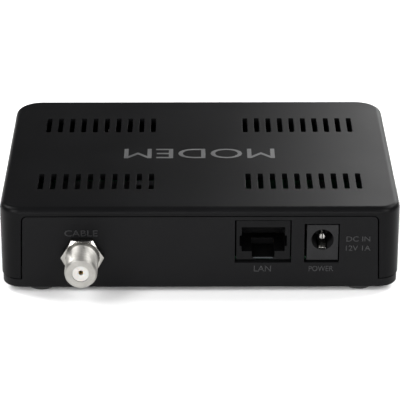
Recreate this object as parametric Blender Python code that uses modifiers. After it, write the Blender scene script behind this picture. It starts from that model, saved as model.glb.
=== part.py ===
"""Cable modem: a flat box with a coaxial port, a network socket and a power socket at the back.

Frame: metres, +Z up, origin on the ground under the middle of the whole, port included. The
front, with the status lights, faces -Y. The connector panel faces +Y. The dimensions below are
given about the middle of the case, and the last step moves everything by one empty.
"""

from math import cos, pi, radians, sin

import bmesh
import bpy
from mathutils import Matrix

MM = 0.001

# Case
CASE_WIDTH = 114.4 * MM
CASE_DEPTH = 82.0 * MM
TOP_Z = 27.1 * MM
BASE_Z = 2.15 * MM
SEAM_Z = 5.0 * MM
REAR_CORNER_RADIUS = 6.0 * MM
FRONT_CORNER_RADIUS = 8.0 * MM
TOP_EDGE_RADIUS = 1.8 * MM
BASE_EDGE_RADIUS = 0.6 * MM
WALL = 2.0 * MM
GAP = 0.35 * MM
FIT = 0.3 * MM

# Tray and its rear panel
TRAY_INSET = 0.25 * MM
TRAY_FLOOR = 2.0 * MM
TRAY_LIP_TOP_Z = 8.0 * MM
TRAY_LIP_WALL = 1.5 * MM
PANEL_THICKNESS = 2.4 * MM
WINDOW_HALF_WIDTH = 50.9 * MM
WINDOW_TAPER = 0.6 * MM
WINDOW_TOP_Z = 24.7 * MM
WINDOW_CORNER_RADIUS = 1.7 * MM
PANEL_Y = CASE_DEPTH / 2 - TRAY_INSET
PANEL_INNER_Y = PANEL_Y - PANEL_THICKNESS

# Vent slots in the top
SLOT_LENGTH = 10.9 * MM
SLOT_WIDTH = 1.55 * MM
SLOT_PITCH = 3.567 * MM
SLOT_FIRST_X = 14.1 * MM
SLOTS_PER_GROUP = 10
SLOT_ROW_YS = (21.85 * MM, -20.55 * MM)

# Vent slots in the base
BASE_SLOT_LENGTH = 16.0 * MM
BASE_SLOT_WIDTH = 1.6 * MM
BASE_SLOT_PITCH = 4.4 * MM
BASE_SLOT_COUNT = 7
BASE_SLOT_Y = -22.0 * MM

# Board
BOARD_TOP_Z = 10.4 * MM
BOARD_THICKNESS = 1.6 * MM
BOARD_HALF_WIDTH = 52.0 * MM
BOARD_FRONT_Y = -36.0 * MM
BOARD_REAR_Y = 37.6 * MM
BOARD_NOTCH_X = 13.0 * MM
BOARD_NOTCH_Y = 9.5 * MM
BOARD_BOTTOM_Z = BOARD_TOP_Z - BOARD_THICKNESS
POST_XY = (47.0 * MM, 17.0 * MM)
POST_RADIUS = 3.0 * MM
SCREW_RADIUS = 1.15 * MM
PILOT_RADIUS = 1.45 * MM
SCREW_HEAD_RADIUS = 2.5 * MM
SCREW_HEAD_HEIGHT = 1.6 * MM
BOARD_SCREW_LENGTH = 5.6 * MM

# Feet and the case screws that they hide
FOOT_RADIUS = 4.3 * MM
FOOT_X = 45.9 * MM
FOOT_Y = CASE_DEPTH / 2 - 6.8 * MM
FOOT_RECESS = 0.6 * MM
SCREW_SEAT_Z = 5.0 * MM
TRAY_BOSS_RADIUS = 4.0 * MM
TRAY_BOSS_TOP_Z = 8.0 * MM
COVER_BOSS_RADIUS = 3.2 * MM
COVER_BOSS_BOTTOM_Z = 8.4 * MM
CASE_SCREW_TIP_Z = 14.0 * MM

# Coaxial port
PORT_X = 33.6 * MM
PORT_Z = TOP_Z - 14.65 * MM
PORT_TIP_Y = PANEL_Y + 12.35 * MM
PORT_RADIUS = 4.7 * MM
PORT_BORE_RADIUS = 2.75 * MM
PORT_TIP_CHAMFER = 0.5 * MM
PORT_PANEL_HOLE_RADIUS = 5.1 * MM
PORT_BLOCK_SIZE = 12.0 * MM
PORT_BLOCK_REAR_Y = 28.0 * MM
PORT_BLOCK_FRONT_Y = 36.8 * MM
NUT_ACROSS_FLATS = 11.0 * MM
NUT_THICKNESS = 2.2 * MM
INSULATOR_RADIUS = 2.43 * MM
INSULATOR_LENGTH = 14.0 * MM
PIN_HOLE_RADIUS = 0.65 * MM
PIN_HOLE_DEPTH = 1.0 * MM
CONTACT_POCKET_RADIUS = 1.35 * MM
CONTACT_RADIUS = 1.0 * MM
CONTACT_BORE_RADIUS = 0.5 * MM
CONTACT_BORE_BOTTOM = 4.0 * MM
CONTACT_TAIL = 6.0 * MM

# Network socket
LAN_X = -18.07 * MM
LAN_WIDTH = 15.4 * MM
LAN_DEPTH = 16.0 * MM
LAN_FACE_Y = PANEL_Y - 0.5 * MM
LAN_TOP_Z = 22.94 * MM
LAN_HOLE = (-26.1 * MM, -9.95 * MM, 9.9 * MM, 23.3 * MM)
LAN_MOUTH_WIDTH = 12.35 * MM
LAN_MOUTH_TOP_Z = 20.85 * MM
LAN_MOUTH_BOTTOM_Z = 13.3 * MM
LAN_MOUTH_DEPTH = 12.5 * MM
LAN_EAR_WIDTH = 13.5 * MM
LAN_EAR_BOTTOM_Z = 14.9 * MM
LAN_EAR_TOP_Z = 18.25 * MM
LAN_LATCH_WIDTH = 6.5 * MM
LAN_LATCH_BOTTOM_Z = 11.5 * MM
LAN_LATCH_DEPTH = 9.0 * MM
LAN_COMB_TOP_Z = 22.2 * MM
LAN_COMB_WIDTH = 9.0 * MM
LAN_CONTACT_COUNT = 8
LAN_CONTACT_PITCH = 1.02 * MM
LAN_CONTACT_RADIUS = 0.23 * MM
LAN_HINGE_Y = LAN_FACE_Y - 3.4 * MM
LAN_HINGE_Z = 20.6 * MM
LAN_TIP_Y = LAN_HINGE_Y - 7.6 * MM
LAN_TIP_Z = 18.2 * MM

# Power socket
DC_X = -35.0 * MM
DC_FACE_WIDTH = 8.9 * MM
DC_FACE_Y = PANEL_Y - 0.25 * MM
DC_FACE_TOP_Z = 21.62 * MM
DC_FLANGE_DEPTH = 3.4 * MM
DC_BODY_DEPTH = 14.0 * MM
DC_BODY_WIDTH = 8.4 * MM
DC_BORE_Z = TOP_Z - 10.05 * MM
DC_BORE_RADIUS = 3.15 * MM
DC_BORE_DEPTH = 10.0 * MM
DC_HOLE = (-39.82 * MM, -29.79 * MM, 9.9 * MM, 22.1 * MM)
DC_PIN_RADIUS = 1.0 * MM
DC_PIN_RECESS = 2.0 * MM
DC_CHANNEL_WIDTH = 2.8 * MM
DC_CHANNEL_BOTTOM_Z = DC_BORE_Z - 4.6 * MM
DC_SPRING_WIDTH = 2.0 * MM
DC_SPRING_THICKNESS = 0.3 * MM
DC_SPRING_ROOT_Y = DC_FACE_Y - 9.3 * MM
DC_SPRING_ROOT_Z = DC_BORE_Z - 3.6 * MM

# Front window and status lights
FRONT_WINDOW_WIDTH = 58.0 * MM
FRONT_WINDOW_HEIGHT = 6.0 * MM
FRONT_WINDOW_Z = 15.2 * MM
FRONT_WINDOW_THICKNESS = 1.4 * MM
LIGHT_PITCH = 10.5 * MM
LIGHT_NAMES = ("power", "downstream", "upstream", "online", "lan")
LIGHT_Y = -33.0 * MM
LIGHT_ROD_RADIUS = 1.1 * MM

# Components on the board: name, middle (x, y), size (x, y, z) and edge, in millimetres
SHIELD = ("tuner_shield", (31.0, 10.0), (24.0, 26.0, 5.5), 0.4)
CRYSTAL = ("crystal", (17.0, -6.0), (11.0, 4.6, 3.4), 0.6)
BLACK_COMPONENTS = (
    ("modem_chip", (0.0, 0.0), (17.0, 17.0, 1.8), 0.0),
    ("memory_chip", (-2.0, -20.0), (12.0, 9.0, 1.1), 0.0),
    ("flash_chip", (20.0, -20.0), (8.0, 6.0, 1.4), 0.0),
    ("lan_transformer", (-18.0, 16.0), (16.0, 9.5, 5.6), 0.4),
    ("power_inductor", (-37.0, 2.0), (7.0, 7.0, 3.8), 0.5),
    ("power_regulator", (-37.0, -8.0), (5.0, 6.2, 1.5), 0.0),
)
CAPACITOR_PLACES = ((-30.0, 21.0), (-39.0, 12.0), (-30.0, 8.0))
CAPACITOR_RADIUS = 3.15 * MM
CAPACITOR_HEIGHT = 7.7 * MM
CAPACITOR_EDGE = 0.4 * MM
CHIP_HEIGHT = 1.8 * MM
SINK_WIDTH = 20.0 * MM
SINK_HEIGHT = 7.0 * MM
SINK_BASE = 2.0 * MM
FIN_COUNT = 6
FIN_THICKNESS = 1.2 * MM

FRONT_Y = -CASE_DEPTH / 2
COLLECTION_NAME = "cable_modem"
CUTTER_COLLECTION_NAME = "cable_modem_cutters"


# ---------------------------------------------------------------- scene and helpers

for old in list(bpy.data.objects):
    bpy.data.objects.remove(old)

parts = bpy.data.collections.new(COLLECTION_NAME)
cutters = bpy.data.collections.new(CUTTER_COLLECTION_NAME)
bpy.context.scene.collection.children.link(parts)
bpy.context.scene.collection.children.link(cutters)

materials = {}


def material(name, colour, roughness, metallic=0.0):
    """Make a Principled BSDF material once and return it by name."""
    if name not in materials:
        made = bpy.data.materials.new(name)
        made.use_nodes = True
        shader = made.node_tree.nodes["Principled BSDF"]
        shader.inputs["Base Color"].default_value = (*colour, 1.0)
        shader.inputs["Roughness"].default_value = roughness
        shader.inputs["Metallic"].default_value = metallic
        materials[name] = made
    return materials[name]


CASE_BLACK = material("case_black", (0.016, 0.016, 0.018), 0.42)
SOCKET_BLACK = material("socket_black", (0.012, 0.012, 0.013), 0.5)
SOCKET_GREY = material("socket_grey", (0.035, 0.035, 0.037), 0.45)
RUBBER = material("rubber", (0.012, 0.012, 0.012), 0.8)
NICKEL = material("nickel", (0.72, 0.70, 0.65), 0.25, 1.0)
GOLD = material("gold", (0.85, 0.62, 0.25), 0.25, 1.0)
BRASS = material("brass", (0.72, 0.52, 0.22), 0.3, 1.0)
STEEL = material("steel", (0.6, 0.6, 0.6), 0.35, 1.0)
DIELECTRIC = material("dielectric", (0.85, 0.84, 0.8), 0.4)
BOARD_GREEN = material("board_green", (0.02, 0.13, 0.05), 0.45)
CHIP_BLACK = material("chip_black", (0.02, 0.02, 0.02), 0.5)
CAN_ALUMINIUM = material("can_aluminium", (0.6, 0.62, 0.66), 0.35, 1.0)
CLEAR_PLASTIC = material("clear_plastic", (0.75, 0.78, 0.8), 0.15)
SMOKED_PLASTIC = material("smoked_plastic", (0.01, 0.01, 0.012), 0.08)
LIGHT_BODY = material("light_body", (0.85, 0.85, 0.7), 0.3)
LABEL_PAPER = material("label_paper", (0.7, 0.7, 0.7), 0.6)


def add_object(name, mesh_builder, finish=None):
    """Turn a bmesh into an object: a part if it has a finish, else a cutter."""
    mesh = bpy.data.meshes.new(name)
    mesh_builder.to_mesh(mesh)
    mesh_builder.free()
    made = bpy.data.objects.new(name, mesh)
    if finish is None:
        cutters.objects.link(made)
        made.hide_render = True
        made.display_type = "WIRE"
    else:
        parts.objects.link(made)
        mesh.materials.append(finish)
    return made


def box_mesh(low, high):
    """Return a bmesh box between two corners."""
    builder = bmesh.new()
    size = [b - a for a, b in zip(low, high)]
    centre = [(a + b) / 2 for a, b in zip(low, high)]
    matrix = Matrix.Translation(centre) @ Matrix.Diagonal((*size, 1.0))
    bmesh.ops.create_cube(builder, size=1.0, matrix=matrix)
    return builder


def box(name, low, high, finish=None, edge=0.0):
    """Make a box, with its edges broken by a small bevel if edge is given."""
    made = add_object(name, box_mesh(low, high), finish)
    if edge:
        bevel = made.modifiers.new("edge", "BEVEL")
        bevel.width = edge
        bevel.segments = 1
    return made


def rounded_box(name, half_width, rear_y, front_y, bottom_z, top_z, radii, finish=None):
    """Make an upright block whose plan has round corners, with radii (rear, front)."""
    builder = box_mesh((-half_width, front_y, bottom_z), (half_width, rear_y, top_z))
    middle_y = (rear_y + front_y) / 2
    for radius, is_rear in ((radii[0], True), (radii[1], False)):
        if radius <= 0.0:
            continue
        corner_edges = []
        for edge in builder.edges:
            a, b = (vert.co for vert in edge.verts)
            upright = abs(a.x - b.x) < 1e-6 and abs(a.y - b.y) < 1e-6
            at_corner = abs(abs(a.x) - half_width) < 1e-6
            if upright and at_corner and (a.y > middle_y) == is_rear:
                corner_edges.append(edge)
        bmesh.ops.bevel(builder, geom=corner_edges, offset=radius, segments=6,
                        profile=0.5, affect="EDGES", clamp_overlap=False)
    return add_object(name, builder, finish)


def bevel_rim(made, z, width, segments):
    """Round the outer rim of a block at height z."""
    builder = bmesh.new()
    builder.from_mesh(made.data)
    rim = [edge for edge in builder.edges
           if all(abs(vert.co.z - z) < 1e-6 for vert in edge.verts)]
    bmesh.ops.bevel(builder, geom=rim, offset=width, segments=segments,
                    profile=0.5, affect="EDGES", clamp_overlap=False)
    builder.to_mesh(made.data)
    builder.free()


def rod(name, radius, start, length, axis="Z", finish=None, segments=20):
    """Make a closed cylinder that runs from start along one axis."""
    builder = bmesh.new()
    bmesh.ops.create_cone(builder, cap_ends=True, segments=segments,
                          radius1=radius, radius2=radius, depth=length)
    builder.transform(Matrix.Translation((0.0, 0.0, length / 2)))
    turn = Matrix.Rotation(-pi / 2, 4, "X") if axis == "Y" else Matrix.Identity(4)
    builder.transform(Matrix.Translation(start) @ turn)
    made = add_object(name, builder, finish)
    made.data.shade_smooth()
    made.data.set_sharp_from_angle(angle=radians(35))
    return made


def slot_cutter(name, centre, length, width, bottom_z, top_z):
    """Make an upright cutter with round ends, long in Y."""
    steps = 4
    builder = bmesh.new()
    outline = []
    for end, start_angle in ((1, 0.0), (-1, pi)):
        for step in range(steps + 1):
            angle = start_angle + pi * step / steps
            x = centre[0] + cos(angle) * width / 2
            y = centre[1] + end * (length - width) / 2 + sin(angle) * width / 2
            outline.append(builder.verts.new((x, y, bottom_z)))
    face = builder.faces.new(outline)
    walls = bmesh.ops.extrude_face_region(builder, geom=[face])
    lifted = [item for item in walls["geom"] if isinstance(item, bmesh.types.BMVert)]
    bmesh.ops.translate(builder, verts=lifted, vec=(0.0, 0.0, top_z - bottom_z))
    bmesh.ops.recalc_face_normals(builder, faces=builder.faces)
    return add_object(name, builder)


def turned(name, profile, location, finish=None, steps=24):
    """Spin a profile of (radius, height) points about an axis that is then laid along +Y.

    The profile runs down its outer side. One that never meets the axis closes into a ring.
    """
    builder = bmesh.new()
    points = [builder.verts.new((radius, 0.0, height)) for radius, height in profile]
    for a, b in zip(points, points[1:]):
        builder.edges.new((a, b))
    if profile[0][0] > 0.0 and profile[-1][0] > 0.0:
        builder.edges.new((points[-1], points[0]))
    made = add_object(name, builder, finish)
    screw = made.modifiers.new("turned", "SCREW")
    screw.steps = steps
    screw.render_steps = steps
    screw.use_merge_vertices = True
    screw.merge_threshold = 1e-6
    made.location = location
    made.rotation_euler = (-pi / 2, 0.0, 0.0)
    return made


def combine(made, other, operation):
    """Add a Boolean modifier: DIFFERENCE with a cutter or UNION with an added block."""
    boolean = made.modifiers.new(other.name, "BOOLEAN")
    boolean.operation = operation
    boolean.object = other


def cut(made, *others):
    """Cut every given cutter out of a part."""
    for other in others:
        combine(made, other, "DIFFERENCE")


def join(made, *others):
    """Join every given block to a part."""
    for other in others:
        combine(made, other, "UNION")


def corners(x, y):
    """Give the four mirrored places of a corner feature, with a name for each."""
    return (("rear_left", x, y), ("rear_right", -x, y),
            ("front_left", x, -y), ("front_right", -x, -y))


def board_centred(name, centre, size, finish, edge=0.0):
    """Stand a box-shaped component on the board."""
    low = (centre[0] - size[0] / 2, centre[1] - size[1] / 2, BOARD_TOP_Z + FIT)
    high = (centre[0] + size[0] / 2, centre[1] + size[1] / 2, BOARD_TOP_Z + FIT + size[2])
    return box(name, low, high, finish, edge)


# ---------------------------------------------------------------- case

def window_cutter(name, grow, front_y, rear_y, bottom_z):
    """Make the outline of the rear window, a little wider at its foot, as a block.

    It grows or shrinks all round by the given amount.
    """
    half = WINDOW_HALF_WIDTH + grow
    top_z = WINDOW_TOP_Z + grow
    builder = box_mesh((-half, front_y, bottom_z), (half, rear_y, top_z))
    spread = WINDOW_TAPER * (top_z - bottom_z) / (WINDOW_TOP_Z - SEAM_Z)
    for vert in builder.verts:
        if vert.co.z < TOP_Z / 2:
            vert.co.x *= (half + spread) / half
    top_edges = []
    for edge in builder.edges:
        a, b = (vert.co for vert in edge.verts)
        if abs(a.x - b.x) < 1e-6 and a.z > TOP_Z / 2 and b.z > TOP_Z / 2:
            top_edges.append(edge)
    bmesh.ops.bevel(builder, geom=top_edges, offset=WINDOW_CORNER_RADIUS + grow,
                    segments=4, profile=0.5, affect="EDGES", clamp_overlap=False)
    return add_object(name, builder)


def make_cover():
    """Top shell: one wall thickness all round, vented, with the rear window cut out."""
    half = CASE_WIDTH / 2
    rear = CASE_DEPTH / 2
    radii = (REAR_CORNER_RADIUS, FRONT_CORNER_RADIUS)
    cover = rounded_box("top_cover", half, rear, -rear, SEAM_Z, TOP_Z, radii, CASE_BLACK)
    bevel_rim(cover, TOP_Z, TOP_EDGE_RADIUS, 3)
    inner_radii = [radius - WALL for radius in radii]
    hollow = rounded_box("cover_hollow", half - WALL, rear - WALL, -rear + WALL,
                         SEAM_Z - WALL, TOP_Z - WALL, inner_radii)
    cut(cover, hollow)
    for place, x, y in corners(FOOT_X, FOOT_Y):
        boss = rod(f"cover_boss_{place}", COVER_BOSS_RADIUS, (x, y, COVER_BOSS_BOTTOM_Z),
                   TOP_Z - WALL / 2 - COVER_BOSS_BOTTOM_Z, segments=16)
        pilot = rod(f"cover_pilot_{place}", PILOT_RADIUS, (x, y, COVER_BOSS_BOTTOM_Z - WALL),
                    CASE_SCREW_TIP_Z + 1.0 * MM - COVER_BOSS_BOTTOM_Z + WALL, segments=12)
        join(cover, boss)
        cut(cover, pilot)
    cut(cover, window_cutter("rear_window", 0.0, rear - WALL - FIT, rear + WALL, SEAM_Z - WALL))
    window_low = FRONT_WINDOW_Z - FRONT_WINDOW_HEIGHT / 2
    front_opening = box("front_opening", (-FRONT_WINDOW_WIDTH / 2, FRONT_Y - WALL, window_low),
                        (FRONT_WINDOW_WIDTH / 2, FRONT_Y + 2 * WALL,
                         window_low + FRONT_WINDOW_HEIGHT))
    cut(cover, front_opening)
    for row, y in enumerate(SLOT_ROW_YS):
        for side in (1, -1):
            for index in range(SLOTS_PER_GROUP):
                x = side * (SLOT_FIRST_X + index * SLOT_PITCH)
                cut(cover, slot_cutter(f"vent_{row}_{side}_{index}", (x, y), SLOT_LENGTH,
                                       SLOT_WIDTH, TOP_Z - 2 * WALL, TOP_Z + WALL))


def make_tray():
    """Lower tray with its lip inside the cover, the rear panel, posts and screw bosses."""
    half = CASE_WIDTH / 2 - TRAY_INSET
    rear = CASE_DEPTH / 2 - TRAY_INSET
    radii = [REAR_CORNER_RADIUS - TRAY_INSET, FRONT_CORNER_RADIUS - TRAY_INSET]
    tray = rounded_box("base_tray", half, rear, -rear, BASE_Z, SEAM_Z - GAP, radii, CASE_BLACK)
    bevel_rim(tray, BASE_Z, BASE_EDGE_RADIUS, 2)
    lip_inset = WALL + GAP - TRAY_INSET
    lip = rounded_box("tray_lip", half - lip_inset, rear - lip_inset, -rear + lip_inset,
                      SEAM_Z - 2 * GAP, TRAY_LIP_TOP_Z, [radius - lip_inset for radius in radii])
    join(tray, lip)
    hollow_inset = lip_inset + TRAY_LIP_WALL
    hollow = rounded_box("tray_hollow", half - hollow_inset, rear - hollow_inset,
                         -rear + hollow_inset, BASE_Z + TRAY_FLOOR, TRAY_LIP_TOP_Z + WALL,
                         [radius - hollow_inset for radius in radii])
    cut(tray, hollow)
    join(tray, window_cutter("rear_panel", -GAP, PANEL_INNER_Y, PANEL_Y, BASE_Z + 1.0 * MM))
    floor_z = BASE_Z + TRAY_FLOOR
    for place, x, y in corners(*POST_XY):
        post = rod(f"post_{place}", POST_RADIUS, (x, y, BASE_Z + TRAY_FLOOR / 2),
                   BOARD_BOTTOM_Z - FIT - BASE_Z - TRAY_FLOOR / 2, segments=16)
        join(tray, post)
        cut(tray, rod(f"post_pilot_{place}", PILOT_RADIUS, (x, y, floor_z + FIT),
                      BOARD_BOTTOM_Z - floor_z, segments=12))
    for place, x, y in corners(FOOT_X, FOOT_Y):
        boss = rod(f"tray_boss_{place}", TRAY_BOSS_RADIUS, (x, y, BASE_Z + TRAY_FLOOR / 2),
                   TRAY_BOSS_TOP_Z - BASE_Z - TRAY_FLOOR / 2, segments=16)
        join(tray, boss)
        seat = rod(f"screw_seat_{place}", SCREW_HEAD_RADIUS + FIT, (x, y, BASE_Z - WALL),
                   SCREW_SEAT_Z - BASE_Z + WALL, segments=16)
        recess = rod(f"foot_recess_{place}", FOOT_RADIUS + FIT, (x, y, BASE_Z - WALL),
                     FOOT_RECESS + WALL, segments=24)
        hole = rod(f"screw_hole_{place}", PILOT_RADIUS, (x, y, BASE_Z), 2 * TRAY_BOSS_TOP_Z,
                   segments=12)
        cut(tray, recess, seat, hole)
    cut(tray, rod("port_hole", PORT_PANEL_HOLE_RADIUS, (PORT_X, PANEL_INNER_Y - WALL, PORT_Z),
                  PANEL_THICKNESS + 2 * WALL, "Y", segments=24))
    for name, (low_x, high_x, low_z, high_z) in (("lan_hole", LAN_HOLE), ("dc_hole", DC_HOLE)):
        cut(tray, box(name, (low_x, PANEL_INNER_Y - WALL, low_z), (high_x, PANEL_Y + WALL, high_z)))
    for index in range(BASE_SLOT_COUNT):
        x = (index - (BASE_SLOT_COUNT - 1) / 2) * BASE_SLOT_PITCH
        cut(tray, slot_cutter(f"base_vent_{index}", (x, BASE_SLOT_Y), BASE_SLOT_LENGTH,
                              BASE_SLOT_WIDTH, BASE_Z - WALL, BASE_Z + 2 * TRAY_FLOOR))


def make_feet():
    """Rubber feet set in the tray's recesses, over the case screws."""
    for place, x, y in corners(FOOT_X, FOOT_Y):
        foot = rod(f"foot_{place}", FOOT_RADIUS, (x, y, 0.0),
                   BASE_Z + FOOT_RECESS - FIT, finish=RUBBER, segments=24)
        bevel = foot.modifiers.new("edge", "BEVEL")
        bevel.width = 0.5 * MM
        bevel.segments = 1
        bevel.limit_method = "ANGLE"


def make_screw(name, x, y, head_z, length, pointing_up):
    """Pan-head screw standing at x, y: a shaft and a head joined in one turned piece."""
    head_far = head_z - SCREW_HEAD_HEIGHT if pointing_up else head_z + SCREW_HEAD_HEIGHT
    tip = head_z + length if pointing_up else head_z - length
    edge = 0.3 * MM
    toward = 1.0 if pointing_up else -1.0
    profile = [(0.0, tip), (SCREW_RADIUS, tip), (SCREW_RADIUS, head_z),
               (SCREW_HEAD_RADIUS, head_z), (SCREW_HEAD_RADIUS, head_far + toward * edge),
               (SCREW_HEAD_RADIUS - edge, head_far), (0.0, head_far)]
    if not pointing_up:
        profile.reverse()
    screw = turned(name, profile, (x, y, 0.0), STEEL, steps=16)
    screw.rotation_euler = (0.0, 0.0, 0.0)


def make_screws():
    """Board screws go down into the posts, case screws go up into the cover's bosses."""
    for number, (_, x, y) in enumerate(corners(*POST_XY), start=1):
        head_z = BOARD_TOP_Z + FIT
        make_screw(f"board_screw_{number}", x, y, head_z, BOARD_SCREW_LENGTH, False)
    for number, (_, x, y) in enumerate(corners(FOOT_X, FOOT_Y), start=1):
        head_z = SCREW_SEAT_Z - FIT
        make_screw(f"case_screw_{number}", x, y, head_z, CASE_SCREW_TIP_Z - head_z, True)


def make_label():
    """Blank label stuck under the base."""
    box("rating_label", (-20.0 * MM, 6.0 * MM, BASE_Z - 2 * FIT),
        (20.0 * MM, 30.0 * MM, BASE_Z - FIT), LABEL_PAPER)


# ---------------------------------------------------------------- coaxial port

def make_port():
    """Turned barrel with a square block behind the panel, its nut, insulator and contact."""
    length = PORT_TIP_Y - PORT_BLOCK_REAR_Y
    barrel = turned("f_connector_body",
                    [(PORT_BORE_RADIUS, length), (PORT_RADIUS - PORT_TIP_CHAMFER, length),
                     (PORT_RADIUS, length - PORT_TIP_CHAMFER), (PORT_RADIUS, 1.0 * MM),
                     (PORT_BORE_RADIUS, 1.0 * MM)],
                    (PORT_X, PORT_BLOCK_REAR_Y, PORT_Z), NICKEL, steps=32)
    half = PORT_BLOCK_SIZE / 2
    block = box("port_block", (PORT_X - half, PORT_BLOCK_REAR_Y, PORT_Z - half),
                (PORT_X + half, PORT_BLOCK_FRONT_Y, PORT_Z + half))
    back_hole = rod("port_back_hole", CONTACT_POCKET_RADIUS,
                    (PORT_X, PORT_BLOCK_REAR_Y - WALL, PORT_Z), length, "Y", segments=16)
    join(barrel, block)
    cut(barrel, back_hole)

    nut_y = PANEL_Y + FIT
    across_corners = NUT_ACROSS_FLATS / cos(pi / 6)
    nut = rod("f_connector_nut", across_corners / 2, (PORT_X, nut_y, PORT_Z),
              NUT_THICKNESS, "Y", NICKEL, segments=6)
    nut.data.transform(Matrix.Translation((PORT_X, nut_y, PORT_Z))
                       @ Matrix.Rotation(pi / 6, 4, "Y")
                       @ Matrix.Translation((-PORT_X, -nut_y, -PORT_Z)))
    nut_hole = rod("nut_hole", PORT_RADIUS + FIT, (PORT_X, nut_y - WALL, PORT_Z),
                   NUT_THICKNESS + 2 * WALL, "Y", segments=32)
    cut(nut, nut_hole)

    depth = INSULATOR_LENGTH
    neck = depth - PIN_HOLE_DEPTH
    turned("f_connector_insulator",
           [(PIN_HOLE_RADIUS, depth), (INSULATOR_RADIUS, depth), (INSULATOR_RADIUS, 0.0),
            (CONTACT_POCKET_RADIUS, 0.0), (CONTACT_POCKET_RADIUS, neck),
            (PIN_HOLE_RADIUS, neck)],
           (PORT_X, PORT_TIP_Y - INSULATOR_LENGTH - 0.2 * MM, PORT_Z), DIELECTRIC)
    contact_length = neck - FIT
    turned("f_connector_contact",
           [(0.0, CONTACT_BORE_BOTTOM), (CONTACT_BORE_RADIUS, CONTACT_BORE_BOTTOM),
            (CONTACT_BORE_RADIUS, contact_length), (CONTACT_RADIUS, contact_length),
            (CONTACT_RADIUS, -CONTACT_TAIL), (0.0, -CONTACT_TAIL)],
           (PORT_X, PORT_TIP_Y - INSULATOR_LENGTH - 0.2 * MM, PORT_Z), BRASS, steps=16)


# ---------------------------------------------------------------- network socket

def make_lan_jack():
    """Socket housing with a plug mouth, ears, a latch notch below and a comb pocket above."""
    half = LAN_WIDTH / 2
    housing = box("lan_jack_housing", (LAN_X - half, LAN_FACE_Y - LAN_DEPTH, BOARD_TOP_Z + FIT),
                  (LAN_X + half, LAN_FACE_Y, LAN_TOP_Z), SOCKET_BLACK)

    def pocket(name, width, low_z, high_z, depth):
        return box(name, (LAN_X - width / 2, LAN_FACE_Y - depth, low_z),
                   (LAN_X + width / 2, LAN_FACE_Y + WALL, high_z))

    cut(housing,
        pocket("lan_mouth", LAN_MOUTH_WIDTH, LAN_MOUTH_BOTTOM_Z, LAN_MOUTH_TOP_Z,
               LAN_MOUTH_DEPTH),
        pocket("lan_ears", LAN_EAR_WIDTH, LAN_EAR_BOTTOM_Z, LAN_EAR_TOP_Z, LAN_LATCH_DEPTH),
        pocket("lan_latch", LAN_LATCH_WIDTH, LAN_LATCH_BOTTOM_Z,
               LAN_MOUTH_BOTTOM_Z + 1.0 * MM, LAN_LATCH_DEPTH))
    comb = box("lan_comb", (LAN_X - LAN_COMB_WIDTH / 2, LAN_FACE_Y - LAN_MOUTH_DEPTH + 1.0 * MM,
                            LAN_MOUTH_TOP_Z - 1.0 * MM),
               (LAN_X + LAN_COMB_WIDTH / 2, LAN_FACE_Y - 2.0 * MM, LAN_COMB_TOP_Z))
    cut(housing, comb)


def wire(name, points, radius, finish):
    """Sweep a round wire along points and weld its caps into one closed mesh."""
    curve = bpy.data.curves.new(name, "CURVE")
    curve.dimensions = "3D"
    curve.bevel_depth = radius
    curve.bevel_resolution = 1
    curve.use_fill_caps = True
    spline = curve.splines.new("POLY")
    spline.points.add(len(points) - 1)
    for point, place in zip(spline.points, points):
        point.co = (*place, 1.0)
    guide = bpy.data.objects.new(name + "_guide", curve)
    parts.objects.link(guide)
    bpy.context.view_layer.update()
    evaluated = guide.evaluated_get(bpy.context.evaluated_depsgraph_get())
    mesh = bpy.data.meshes.new_from_object(evaluated)
    builder = bmesh.new()
    builder.from_mesh(mesh)
    bmesh.ops.remove_doubles(builder, verts=builder.verts, dist=1e-6)
    bmesh.ops.recalc_face_normals(builder, faces=builder.faces)
    made = add_object(name, builder, finish)
    made.matrix_world = guide.matrix_world
    bpy.data.objects.remove(guide)
    bpy.data.meshes.remove(mesh)
    return made


def make_lan_contacts():
    """Eight spring wires that bend about one line near the mouth, under an empty there."""
    hinge = bpy.data.objects.new("lan_contact_hinge", None)
    hinge.location = (LAN_X, LAN_HINGE_Y, LAN_HINGE_Z)
    parts.objects.link(hinge)
    drop = LAN_TIP_Z - LAN_HINGE_Z
    reach = LAN_TIP_Y - LAN_HINGE_Y
    for index in range(LAN_CONTACT_COUNT):
        offset = (index - (LAN_CONTACT_COUNT - 1) / 2) * LAN_CONTACT_PITCH
        arm = [(offset, -0.2 * MM, 0.9 * MM), (offset, 0.45 * MM, 0.7 * MM),
               (offset, 0.6 * MM, 0.2 * MM), (offset, 0.25 * MM, -0.15 * MM),
               (offset, reach * 0.8, drop), (offset, reach, drop + 0.2 * MM)]
        contact = wire(f"lan_contact_{index + 1}", arm, LAN_CONTACT_RADIUS, GOLD)
        contact.parent = hinge


# ---------------------------------------------------------------- power socket

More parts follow.
